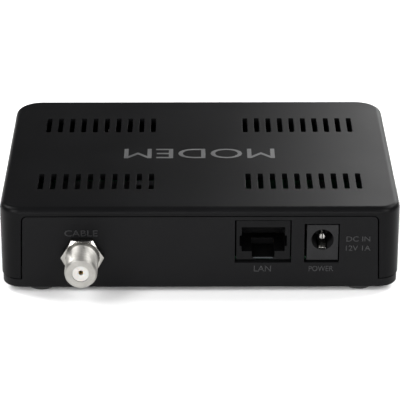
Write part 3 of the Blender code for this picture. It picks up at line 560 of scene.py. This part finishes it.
# %% Tray
tray_low, tray_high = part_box("base_tray")
SEAM_GAP = 0.35 * MM
TRAY_RIM = cover_low.z - SEAM_GAP
LIP_TOP = 8.0 * MM
LIP_INSET = 2.1 * MM
LIP_WALL = 1.5 * MM
TRAY_FLOOR = tray_low.z + WALL
TRAY_INSET = cover_high.y - tray_high.y

tray = block("tray_and_panel", tray_low, (tray_high.x, tray_high.y, TRAY_RIM))
for is_rear, radius in ((True, REAR_CORNER), (False, FRONT_CORNER)):
    round_edges(tray, lambda edge: upright(edge) and (edge.verts[0].co.y > 0.0) == is_rear
                and abs(abs(edge.verts[0].co.x) - tray_high.x) < 1e-6, radius - TRAY_INSET, 14)
round_edges(tray, on_plane(2, tray_low.z), 0.3 * MM, 4)
pick(tray, "FACE", on_plane(2, TRAY_RIM))
bpy.ops.mesh.inset(thickness=LIP_INSET)
bpy.ops.mesh.extrude_region_move(TRANSFORM_OT_translate={"value": (0.0, 0.0, LIP_TOP - TRAY_RIM)})
bpy.ops.mesh.inset(thickness=LIP_WALL)
bpy.ops.mesh.extrude_region_move(TRANSFORM_OT_translate={"value": (0.0, 0.0, TRAY_FLOOR - LIP_TOP)})
leave()

# %% [markdown]
# The panel is a block with two round top corners. It is joined to the tray, and then the
# posts for the board, the bosses for the case screws, and every hole follow.

# %% Socket panel, posts and holes
PANEL_THICKNESS = 2.4 * MM
PANEL_HALF = WINDOW_HALF - SEAM_GAP
PANEL_TOP = tray_high.z
carve(tray, window_block("panel", PANEL_HALF, WINDOW_CORNER - SEAM_GAP, tray_high.y - PANEL_THICKNESS,
                         tray_high.y, tray_low.z + MM, PANEL_TOP), "UNION")

board_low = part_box("main_board")[0]
screw_low, screw_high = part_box("board_screw_1")
POST_X = (screw_low.x + screw_high.x) / 2
POST_YS = [sum(v.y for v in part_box(name)) / 2 for name in ("board_screw_1", "board_screw_3")]
posts = [(side * POST_X, y) for side in (1, -1) for y in POST_YS]
FIT = 0.3 * MM
POST_RADIUS = 3.0 * MM
TRAY_BOSS_RADIUS = 4.0 * MM
carve(tray, gather("posts", [drum("post", POST_RADIUS, (x, y, TRAY_FLOOR - WALL / 2),
                                  board_low.z - FIT - TRAY_FLOOR + WALL / 2, sides=32)
                             for x, y in posts]
                   + [drum("boss", TRAY_BOSS_RADIUS, (x, y, TRAY_FLOOR - WALL / 2),
                           LIP_TOP - TRAY_FLOOR + WALL / 2, sides=32) for x, y in corners]), "UNION")
carve(tray, gather("pilots", [drum("pilot", PILOT, (x, y, TRAY_FLOOR + FIT),
                                   board_low.z - TRAY_FLOOR, sides=24) for x, y in posts]))
SCREW_SEAT = 5.0 * MM
FOOT_RECESS = 0.6 * MM
for name, radius, top in (("foot_recess", 4.6 * MM, tray_low.z + FOOT_RECESS),
                          ("screw_seat", 2.8 * MM, SCREW_SEAT), ("screw_hole", PILOT, 2 * LIP_TOP)):
    carve(tray, gather(name, [drum(name, radius, (x, y, tray_low.z - WALL),
                                   top - tray_low.z + WALL, sides=48) for x, y in corners]))

port_low, port_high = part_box("f_connector_nut")
PORT_X = (port_low.x + port_high.x) / 2
PORT_Z = (port_low.z + port_high.z) / 2
lan_low, lan_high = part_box("lan_jack_housing")
dc_low, dc_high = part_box("dc_jack_housing")
HOLE_BOTTOM = lan_low.z - 0.8 * MM
through = tray_high.y - PANEL_THICKNESS - WALL
beyond = tray_high.y + WALL
PORT_HOLE = 5.1 * MM
carve(tray, drum("port_hole", PORT_HOLE, (PORT_X, through, PORT_Z), beyond - through, "Y", sides=96))
carve(tray, block("lan_hole", (lan_low.x - 0.33 * MM, through, HOLE_BOTTOM),
                  (lan_high.x + 0.42 * MM, beyond, lan_high.z + 0.36 * MM)))
carve(tray, block("dc_hole", (dc_low.x - 0.37 * MM, through, HOLE_BOTTOM),
                  (dc_high.x + 0.76 * MM, beyond, dc_high.z + 0.48 * MM)))

BASE_VENT_LENGTH = 16.0 * MM
BASE_VENT_WIDTH = 1.6 * MM
BASE_VENT_PITCH = 4.4 * MM
BASE_VENTS = 7
BASE_VENT_FROM_FRONT = 19.0 * MM
base_vent_y = cover_low.y + BASE_VENT_FROM_FRONT
first_x = -BASE_VENT_PITCH * (BASE_VENTS - 1) / 2
base_vents = block("base_vents", (first_x - BASE_VENT_WIDTH / 2, base_vent_y - BASE_VENT_LENGTH / 2, 0.0),
                   (first_x + BASE_VENT_WIDTH / 2, base_vent_y + BASE_VENT_LENGTH / 2, TRAY_FLOOR + WALL))
round_edges(base_vents, upright, BASE_VENT_WIDTH / 2 * 0.98, 6)
repeat(base_vents, BASE_VENTS, (BASE_VENT_PITCH, 0.0, 0.0))
carve(tray, base_vents)
soften(tray, 0.12 * MM)
complete(tray, "case", "case_plastic", "tray_black", "base_tray")

# %% [markdown]
# ## The coaxial port
# The barrel is turned brass with a screw thread of 32 turns to the inch, plated with nickel.
# A drum gets a hundred rings by subdividing its long edges, and then each point moves in by how
# far along the thread it sits, which makes one true helix with steep flanks and a run-out at both ends.

# %% Threaded barrel
barrel_low, barrel_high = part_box("f_connector_body")
nut_low, nut_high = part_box("f_connector_nut")
BARREL_RADIUS = 4.65 * MM
BARREL_CHAMFER = 0.5 * MM
THREAD_PITCH = 25.4 / 32 * MM
THREAD_DEPTH = 0.42 * MM
CREST_HALF = 0.06
FLANK = 0.36
RUN_OUT = 0.5 * MM
BLOCK_FRONT = barrel_low.y + 8.8 * MM
BORE = 2.44 * MM

BEHIND_NUT = 1.2 * MM
barrel_start = nut_low.y - BEHIND_NUT
barrel = drum("port_barrel", BARREL_RADIUS, (PORT_X, barrel_start, PORT_Z), barrel_high.y - barrel_start,
              "Y", sides=80)
print("lengthwise edges:",
      pick(barrel, "EDGE", lambda edge: abs(edge.verts[0].co.y - edge.verts[1].co.y) > MM))
bpy.ops.mesh.subdivide(number_cuts=100)
leave()
thread_start = nut_high.y + 0.4 * MM
thread_end = barrel_high.y - 0.2 * MM
for vert in barrel.data.vertices:
    across = Vector((vert.co.x - PORT_X, 0.0, vert.co.z - PORT_Z))
    if across.length < BARREL_RADIUS * 0.9:
        continue
    inside = min(vert.co.y - thread_start, thread_end - vert.co.y) / RUN_OUT
    turn = (vert.co.y - thread_start) / THREAD_PITCH + math.atan2(across.z, across.x) / math.tau
    valley = min(max((abs(turn % 1.0 - 0.5) - CREST_HALF) / FLANK, 0.0), 1.0)
    radius = BARREL_RADIUS - THREAD_DEPTH * valley * min(max(inside, 0.0), 1.0)
    to_tip = barrel_high.y - vert.co.y
    radius = min(radius, BARREL_RADIUS - BARREL_CHAMFER + to_tip)
    across.length = radius
    vert.co.x = PORT_X + across.x
    vert.co.z = PORT_Z + across.z

shank = drum("shank", BARREL_RADIUS - 0.05 * MM, (PORT_X, barrel_low.y + 1.0 * MM, PORT_Z),
             barrel_start - barrel_low.y, "Y", sides=64)
square = block("square", barrel_low, (barrel_high.x, BLOCK_FRONT, barrel_high.z))
soften(square, 0.4 * MM, 3)
carve(shank, square, "UNION")
carve(barrel, shank, "UNION")
carve(barrel, drum("bore", BORE, (PORT_X, barrel_low.y + 1.0 * MM, PORT_Z),
                   barrel_high.y - barrel_low.y + WALL, "Y", sides=64))
BACK_HOLE = 1.35 * MM
carve(barrel, drum("back_hole", BACK_HOLE, (PORT_X, barrel_low.y - WALL, PORT_Z), 3 * WALL, "Y", sides=32))
complete(barrel, "case", "nickel_plate", "satin_nickel", "f_connector_body", angle=40.0)

# %% [markdown]
# ## The nut, the insulator and the contact
# A real nut starts as hexagon bar, and a lathe takes its corners off. The same happens here:
# a six-sided drum keeps only its overlap with a cone, so each corner gets its curved facet.
# The corners stop a little short of the frame's, because those of a plated nut are rounded.

# %% Nut and inside of the port
NUT_FACE = 5.25 * MM
CORNER_SHORT = 0.12 * MM
CHAMFER_SLOPE = math.tan(math.radians(30))
nut_thickness = nut_high.y - nut_low.y
corner_reach = (nut_high.x - nut_low.x) / 2 - CORNER_SHORT
nut = drum("port_nut", corner_reach, (PORT_X, nut_low.y, PORT_Z), nut_thickness, "Y", sides=6)
if max(v.co.z for v in nut.data.vertices) > nut_high.z + 0.1 * MM:
    only(nut)
    bpy.ops.object.mode_set(mode="EDIT")
    bpy.ops.mesh.select_all(action="SELECT")
    bpy.ops.transform.rotate(value=math.pi / 6, orient_axis="Y",
                             center_override=(PORT_X, nut_low.y, PORT_Z))
    leave()
carve(nut, drum("chamfer", NUT_FACE + nut_thickness / CHAMFER_SLOPE, (PORT_X, nut_low.y, PORT_Z),
                nut_thickness, "Y", sides=96, end_radius=NUT_FACE), "INTERSECT")
carve(nut, drum("nut_hole", BARREL_RADIUS + 0.06 * MM, (PORT_X, nut_low.y - WALL, PORT_Z),
                nut_thickness + 2 * WALL, "Y", sides=96))
soften(nut, 0.06 * MM, 2, 25.0)
complete(nut, "case", "nickel_plate", "bright_nickel", "f_connector_nut", angle=25.0)
print("nut across corners", round(nut.dimensions.x / MM, 2), "mm")

tube_low, tube_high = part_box("f_connector_insulator")
TUBE_RADIUS = 2.43 * MM
PIN_HOLE = 0.72 * MM
FUNNEL_DEPTH = 0.6 * MM
insulator = drum("port_insulator", TUBE_RADIUS, tube_low + Vector((TUBE_RADIUS, 0.0, TUBE_RADIUS)),
                 tube_high.y - tube_low.y, "Y", sides=64)
round_edges(insulator, on_plane(1, tube_high.y), 0.08 * MM, 2)
carve(insulator, drum("pocket", BACK_HOLE, (PORT_X, tube_low.y - WALL, PORT_Z),
                      tube_high.y - tube_low.y - 1.0 * MM + WALL, "Y", sides=32))
carve(insulator, drum("pin_hole", PIN_HOLE, (PORT_X, tube_low.y, PORT_Z), tube_high.y, "Y", sides=32))
carve(insulator, drum("funnel", PIN_HOLE, (PORT_X, tube_high.y - FUNNEL_DEPTH, PORT_Z), 0.7 * MM, "Y",
                      sides=48, end_radius=2.2 * MM))
complete(insulator, "case", "dielectric", "white_dielectric", "f_connector_insulator")

pin_low, pin_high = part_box("f_connector_contact")
contact = drum("port_contact", 1.0 * MM, (PORT_X, pin_low.y, PORT_Z), pin_high.y - pin_low.y, "Y", sides=32)
round_edges(contact, on_plane(1, pin_low.y), 0.3 * MM, 3)
carve(contact, drum("socket", 0.5 * MM, (PORT_X, pin_high.y - 9.0 * MM, PORT_Z), 10.0 * MM, "Y", sides=24))
for across_x, across_z in ((2.0, 0.1), (0.1, 2.0)):
    carve(contact, block("slit", (PORT_X - across_x * MM, pin_high.y - 4.0 * MM, PORT_Z - across_z * MM),
                         (PORT_X + across_x * MM, pin_high.y + MM, PORT_Z + across_z * MM)))
complete(contact, "case", "brass", "contact_brass", "f_connector_contact")

# %% [markdown]
# ## The network socket
# The socket is a moulded block with a stepped mouth: a wide opening for the plug, ears that
# guide its shoulders, a narrow notch below for the latch, and a slotted comb above that holds
# the wires apart. Each hollow is one cut. A lip below the notch guides the latch. Its paler
# grey is a painted highlight, the light that the lip catches.

# %% Network socket housing
LAN_X = (lan_low.x + lan_high.x) / 2
lan_face = lan_high.y
housing = block("network_socket", lan_low, lan_high)


def hollow(made, middle, face, width, bottom, top, depth, offset=0.0):
    """Cut a square pocket into a face that looks backwards (+Y)."""
    return carve(made, block("pocket", (middle - width / 2, face - depth, bottom),
                             (middle + width / 2, face - offset + (WALL if offset == 0.0 else 0.0), top)))


MOUTH_WIDTH = 12.35 * MM
MOUTH_TOP = 20.85 * MM
MOUTH_BOTTOM = 13.3 * MM
MOUTH_DEPTH = 12.5 * MM
EAR_WIDTH = 13.5 * MM
EAR_BOTTOM = 14.9 * MM
EAR_TOP = 18.25 * MM
EAR_DEPTH = 9.0 * MM
LATCH_WIDTH = 6.5 * MM
LATCH_BOTTOM = 11.5 * MM
hollow(housing, LAN_X, lan_face, MOUTH_WIDTH, MOUTH_BOTTOM, MOUTH_TOP, MOUTH_DEPTH)
hollow(housing, LAN_X, lan_face, EAR_WIDTH, EAR_BOTTOM, EAR_TOP, EAR_DEPTH)
hollow(housing, LAN_X, lan_face, LATCH_WIDTH, LATCH_BOTTOM, MOUTH_BOTTOM + MM, EAR_DEPTH)
COMB_TOP = 22.2 * MM
COMB_SLOT = 0.62 * MM
COMB_DEPTH = 11.5 * MM
CONTACT_PITCH = 1.02 * MM
for index in range(8):
    slot_x = LAN_X + (index - 3.5) * CONTACT_PITCH
    hollow(housing, slot_x, lan_face, COMB_SLOT, MOUTH_TOP - MM, COMB_TOP, COMB_DEPTH, offset=WALL)
hollow(housing, LAN_X, lan_face, 4.3 * MM, lan_low.z - MM, lan_low.z + 0.35 * MM, 2.0 * MM)
print("latch lip:", round_edges(housing, lambda edge: on_plane(2, LATCH_BOTTOM)(edge)
                                and on_plane(1, lan_face)(edge), 0.6 * MM, 3), "edge")
soften(housing, 0.08 * MM)
complete(housing, "case", "socket_plastic", "socket_black", "lan_jack_housing")

# The lip's paler finish is a painted highlight.
lip = block("latch_lip", (LAN_X - 2.8 * MM, lan_face - 1.3 * MM, LATCH_BOTTOM - 0.5 * MM),
            (LAN_X + 2.8 * MM, lan_face + 0.04 * MM, LATCH_BOTTOM - 0.02 * MM))
soften(lip, 0.12 * MM)
complete(lip, "case", "socket_plastic", "lip_painted_highlight")

# %% [markdown]
# ## The spring wires
# Eight gold wires slope back and down inside the mouth and bend when a plug goes in. Each is a
# smooth curve with a round section, turned into a mesh, and rides on the moving body.

# %% Contact wires
WIRE_RADIUS = 0.23 * MM
HINGE_Y = lan_face - 3.4 * MM
HINGE_Z = 20.6 * MM
WIRE_PATH = ((-0.2, 0.9), (0.45, 0.7), (0.6, 0.2), (0.25, -0.15), (-3.0, -1.27), (-6.08, -2.4),
             (-7.6, -2.2))
for number in range(1, 9):
    wire_low, wire_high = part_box(f"lan_contact_{number}")
    line = bpy.data.curves.new("wire", "CURVE")
    line.dimensions = "3D"
    line.bevel_depth = WIRE_RADIUS
    line.bevel_resolution = 3
    line.use_fill_caps = True
    spline = line.splines.new("NURBS")
    spline.points.add(len(WIRE_PATH) - 1)
    for point, (y, z) in zip(spline.points, WIRE_PATH):
        point.co = ((wire_low.x + wire_high.x) / 2, HINGE_Y + y * MM, HINGE_Z + z * MM, 1.0)
    spline.use_endpoint_u = True
    spline.order_u = 3
    spline.resolution_u = 6
    wire = bpy.data.objects.new(f"contact_wire_{number}", line)
    bpy.context.scene.collection.objects.link(wire)
    only(wire)
    bpy.ops.object.convert(target="MESH")
    wire = bpy.context.object
    bpy.ops.object.mode_set(mode="EDIT")
    bpy.ops.mesh.select_all(action="SELECT")
    bpy.ops.mesh.remove_doubles(threshold=1e-6)
    bpy.ops.mesh.normals_make_consistent(inside=False)
    leave()
    complete(wire, "lan_contacts", "gold_plate", "contact_gold", f"lan_contact_{number}", angle=40.0)

# %% [markdown]
# ## The power socket
# A square flange fills the panel's hole, with a round bore for the plug. Behind it the body
# is a barrel over a flat skirt. The rim of the bore has a small chamfer, which catches light.

# %% Power socket housing
DC_X = (dc_low.x + dc_high.x) / 2
pin_low, pin_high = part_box("dc_jack_pin")
BORE_Z = (pin_low.z + pin_high.z) / 2
BORE_RADIUS = 3.2 * MM
BORE_DEPTH = 10.0 * MM
FLANGE_DEPTH = 3.4 * MM
BODY_HALF = 4.2 * MM
CHANNEL_HALF = 1.4 * MM
CHANNEL_DROP = 4.6 * MM
flange = block("power_socket", (dc_low.x, dc_high.y - FLANGE_DEPTH, dc_low.z), dc_high)
carve(flange, drum("barrel", BODY_HALF, (DC_X, dc_low.y, BORE_Z), 13.0 * MM, "Y", sides=64), "UNION")
carve(flange, block("skirt", (DC_X - BODY_HALF, dc_low.y, dc_low.z),
                    (DC_X + BODY_HALF, dc_high.y - MM, BORE_Z)), "UNION")
carve(flange, drum("bore", BORE_RADIUS, (DC_X, dc_high.y - BORE_DEPTH, BORE_Z), BORE_DEPTH + WALL,
                   "Y", sides=96))
carve(flange, block("channel", (DC_X - CHANNEL_HALF, dc_high.y - BORE_DEPTH, BORE_Z - CHANNEL_DROP),
                    (DC_X + CHANNEL_HALF, dc_high.y - 0.5 * MM, BORE_Z)))
carve(flange, drum("pin_hole", 1.3 * MM, (DC_X, dc_low.y - WALL, BORE_Z), 14.0 * MM, "Y", sides=32))
soften(flange, 0.06 * MM)
complete(flange, "case", "power_socket_plastic", "socket_grey", "dc_jack_housing")

# %% [markdown]
# ## The pin and the leaf
# The centre pin is turned and split so that it can spring, and a bent leaf below it presses on
# the outside of the plug. The leaf is bent from strip: one face extruded step by step.

# %% Power pin and leaf
pin = drum("power_pin", 1.0 * MM, (DC_X, pin_low.y, BORE_Z), pin_high.y - pin_low.y, "Y", sides=40)
round_edges(pin, on_plane(1, pin_high.y), 0.45 * MM, 5)
carve(pin, block("slit", (DC_X - 0.14 * MM, pin_high.y - 4.0 * MM, BORE_Z - 2 * MM),
                 (DC_X + 0.14 * MM, pin_high.y + MM, BORE_Z + 2 * MM)))
complete(pin, "case", "nickel_plate", "spring_nickel", "dc_jack_pin")

leaf_low, leaf_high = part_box("dc_jack_spring")
LEAF_THICKNESS = 0.3 * MM
LEAF_PATH = ((0.0, 0.0), (2.7, 0.3), (4.2, 0.7), (5.1, 0.98), (5.6, 1.05), (6.3, 1.05), (6.8, 1.0),
             (7.3, 0.85), (8.5, 0.35))
leaf = block("power_leaf", leaf_low, (leaf_high.x, leaf_low.y + 0.2 * MM, leaf_low.z + LEAF_THICKNESS))
reach = 0.2 * MM
rise = 0.0
for y, z in LEAF_PATH[1:]:
    pick(leaf, "FACE", on_plane(1, leaf_low.y + reach))
    bpy.ops.mesh.extrude_region_move(
        TRANSFORM_OT_translate={"value": (0.0, y * MM - reach, z * MM - rise)})
    leave()
    reach, rise = y * MM, z * MM
soften(leaf, 0.05 * MM, 2, 50.0)
complete(leaf, "dc_spring", "nickel_plate", "spring_nickel", "dc_jack_spring", angle=25.0)

# %% [markdown]
# ## The feet
# Soft rubber pads, slightly domed where they meet the table, pressed into round recesses.

# %% Feet
for place in ("front_left", "front_right", "rear_left", "rear_right"):
    low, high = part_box(f"foot_{place}")
    radius = (high.x - low.x) / 2
    pad = drum(f"pad_{place}", radius, ((low.x + high.x) / 2, (low.y + high.y) / 2, low.z),
               high.z - low.z, sides=64)
    round_edges(pad, on_plane(2, low.z), 0.9 * MM, 6)
    complete(pad, "case", "rubber", "foot_rubber", f"foot_{place}")

# %% [markdown]
# ## Lettering
# The panel carries small raised names for its sockets, moulded in the same black. Their finish
# is a lighter black whose colour paints the glints on their edges. The lid carries a plain grey
# printed word. Both start as text, become a mesh, and are then fitted to the width and height
# that the real lettering takes up.

# %% Raised and printed words
def word(name, text, centre, width, height, thick, facing):
    """Set a word in the built-in face, sized to fit, on the lid ("up") or the panel ("back")."""
    bpy.ops.object.select_all(action="DESELECT")
    bpy.ops.object.text_add()
    made = bpy.context.object
    made.name = name
    made.data.body = text
    made.data.align_x = "CENTER"
    made.data.align_y = "CENTER"
    made.data.extrude = 0.05
    made.data.resolution_u = 4
    bpy.ops.object.convert(target="MESH")
    made = bpy.context.object
    settle(made)
    low = Vector(map(min, zip(*(v.co for v in made.data.vertices))))
    high = Vector(map(max, zip(*(v.co for v in made.data.vertices))))
    middle = (low + high) / 2
    size = high - low
    for vert in made.data.vertices:
        vert.co = Vector(((vert.co.x - middle.x) / size.x * width, (vert.co.y - middle.y) / size.y * height,
                          (vert.co.z - middle.z) / size.z * thick))
    if facing == "back":
        made.rotation_euler = (math.pi / 2, 0.0, math.pi)
    made.location = centre
    settle(made)
    bpy.ops.object.mode_set(mode="EDIT")
    bpy.ops.mesh.select_all(action="SELECT")
    bpy.ops.mesh.remove_doubles(threshold=1e-7)
    bpy.ops.mesh.normals_make_consistent(inside=False)
    leave()
    return made


RAISED = 0.16 * MM
panel_y = tray_high.y
LABELS = (("name_cable", "CABLE", (33.9, 19.3), (9.4, 1.9)),
          ("name_network", "LAN", (-17.9, 8.05), (4.9, 1.8)),
          ("name_power", "POWER", (-34.7, 8.0), (7.0, 1.7)),
          ("name_supply", "DC IN", (-45.2, 17.4), (6.8, 1.6)),
          ("name_volts", "12V 1A", (-45.2, 14.5), (7.0, 1.6)))
for name, text, (x, z), (width, height) in LABELS:
    label = word(name, text, (x * MM, panel_y, z * MM), width * MM, height * MM, RAISED, "back")
    # The lighter letter finish paints their glints.
    complete(label, "case", "case_plastic", "letter_painted_glint", angle=20.0)

MARK_CENTRE_Y = cover_high.y - 39.5 * MM
MARK_WIDTH = 45.0 * MM
MARK_HEIGHT = 7.2 * MM
PRINTED = 0.04 * MM
mark = word("lid_word", "MODEM", (0.0, MARK_CENTRE_Y, cover_high.z), MARK_WIDTH, MARK_HEIGHT, PRINTED, "up")
complete(mark, "case", "case_plastic", "light_grey_ink", angle=20.0)

# %% [markdown]
# ## The status window
# A strip of smoked plastic closes the opening in the front wall. Five small round lenses sit
# in front of the light pipe, and above each one is a plain printed sign.

# %% Status window and signs
window = block("status_window", status_low, status_high)
round_edges(window, lambda edge: abs(edge.verts[0].co.y - edge.verts[1].co.y) > 0.5 * MM, 0.5 * MM, 4)
soften(window, 0.15 * MM)
complete(window, "case", "smoked_plastic", "smoked_plastic", "front_window")

LIGHTS = ("power", "downstream", "upstream", "online", "lan")
lamp_boxes = [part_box(f"led_{name}") for name in LIGHTS]
LENS_Z = status_low.z + 1.9 * MM
SIGN_Z = LENS_Z + 2.3 * MM
INK = 0.06 * MM
face_y = status_low.y


def ring(name, x, z, radius, line):
    """A flat printed ring on the front window."""
    made = drum(name, radius, (x, face_y - INK, z), 2 * INK, "Y", sides=40)
    return carve(made, drum("hole", radius - line, (x, face_y - MM, z), 2 * MM, "Y", sides=40))


def arrow(name, x, z, way):
    """A flat printed arrow, up (1) or down (-1): a bar, and a triangle on its end."""
    head = drum(name, 0.75 * MM, (x, face_y - INK, z), 2 * INK, "Y", sides=3)
    only(head)
    first = head.data.vertices[0].co
    turn = Vector((0.0, 0.0, way)).angle(first - Vector((x, first.y, z)))
    bpy.ops.object.mode_set(mode="EDIT")
    bpy.ops.mesh.select_all(action="SELECT")
    bpy.ops.transform.rotate(value=turn, orient_axis="Y", center_override=(x, face_y, z))
    leave()
    bar = block("bar", (x - 0.2 * MM, face_y - INK, min(z, z - 1.1 * way * MM)),
                (x + 0.2 * MM, face_y + INK, max(z, z - 1.1 * way * MM)))
    return carve(head, bar, "UNION")


for name, (low, high) in zip(LIGHTS, lamp_boxes):
    x = (low.x + high.x) / 2
    lens = drum(f"lens_{name}", 0.8 * MM, (x, face_y - 0.15 * MM, LENS_Z), 0.6 * MM, "Y", sides=40)
    round_edges(lens, on_plane(1, face_y - 0.15 * MM), 0.12 * MM, 3)
    complete(lens, "case", "clear_plastic", "milky_lens")
    if name == "power":
        sign = ring("sign_power", x, SIGN_Z, 0.75 * MM, 0.22 * MM)
        carve(sign, block("gap", (x - 0.25 * MM, face_y - MM, SIGN_Z),
                          (x + 0.25 * MM, face_y + MM, SIGN_Z + MM)))
        stem = block("stem", (x - 0.1 * MM, face_y - INK, SIGN_Z),
                     (x + 0.1 * MM, face_y + INK, SIGN_Z + 0.8 * MM))
        sign = gather("sign_power", [sign, stem])
    elif name in ("downstream", "upstream"):
        sign = arrow(f"sign_{name}", x, SIGN_Z, 1 if name == "upstream" else -1)
    elif name == "online":
        sign = ring("sign_online", x, SIGN_Z, 0.8 * MM, 0.2 * MM)
        carve(sign, block("line", (x - 0.1 * MM, face_y - INK, SIGN_Z - 0.75 * MM),
                          (x + 0.1 * MM, face_y + INK, SIGN_Z + 0.75 * MM)), "UNION")
        carve(sign, block("line", (x - 0.75 * MM, face_y - INK, SIGN_Z - 0.1 * MM),
                          (x + 0.75 * MM, face_y + INK, SIGN_Z + 0.1 * MM)), "UNION")
    else:
        screen = block("screen", (x - 0.9 * MM, face_y - INK, SIGN_Z - 0.35 * MM),
                       (x + 0.9 * MM, face_y + INK, SIGN_Z + 0.75 * MM))
        carve(screen, block("glass", (x - 0.7 * MM, face_y - MM, SIGN_Z - 0.17 * MM),
                            (x + 0.7 * MM, face_y + MM, SIGN_Z + 0.57 * MM)))
        base = block("base", (x - 0.5 * MM, face_y - INK, SIGN_Z - 0.7 * MM),
                     (x + 0.5 * MM, face_y + INK, SIGN_Z - 0.55 * MM))
        sign = gather("sign_lan", [screen, base])
    complete(sign, "case", "smoked_plastic", "sign_ink", angle=20.0)

# %% [markdown]
# ## Finishes for the pieces inside
# The board and all that stands on it keep their own shapes and get a finish each.

# %% Inside finishes
INSIDE = {
    "board_mask": ("main_board",),
    "shield_tin": ("tuner_shield",),
    "drawn_aluminium": ("heat_sink", "capacitor_1", "capacitor_2", "capacitor_3", "crystal"),
    "chip_epoxy": ("modem_chip", "memory_chip", "flash_chip", "lan_transformer", "power_inductor",
                   "power_regulator"),
    "clear_acrylic": ("light_pipe",),
    "lamp_body": ("led_power", "led_downstream", "led_upstream", "led_online", "led_lan"),
    "label_film": ("rating_label",),
    "screw_steel": tuple(f"{kind}_screw_{n}" for kind in ("board", "case") for n in range(1, 5)),
}
for finish, names in INSIDE.items():
    for name in names:
        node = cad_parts[name]
        node.data.materials.clear()
        node.data.materials.append(materials[finish])
print(sum(len(names) for names in INSIDE.values()), "CAD pieces kept")

# %% [markdown]
# ## Measure the size
# The finished model should fill the same box as the frame; the cell prints the box it fills.

# %% Measure and finish
low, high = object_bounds()
print("finished box", [round(v / MM, 2) for v in low], [round(v / MM, 2) for v in high])
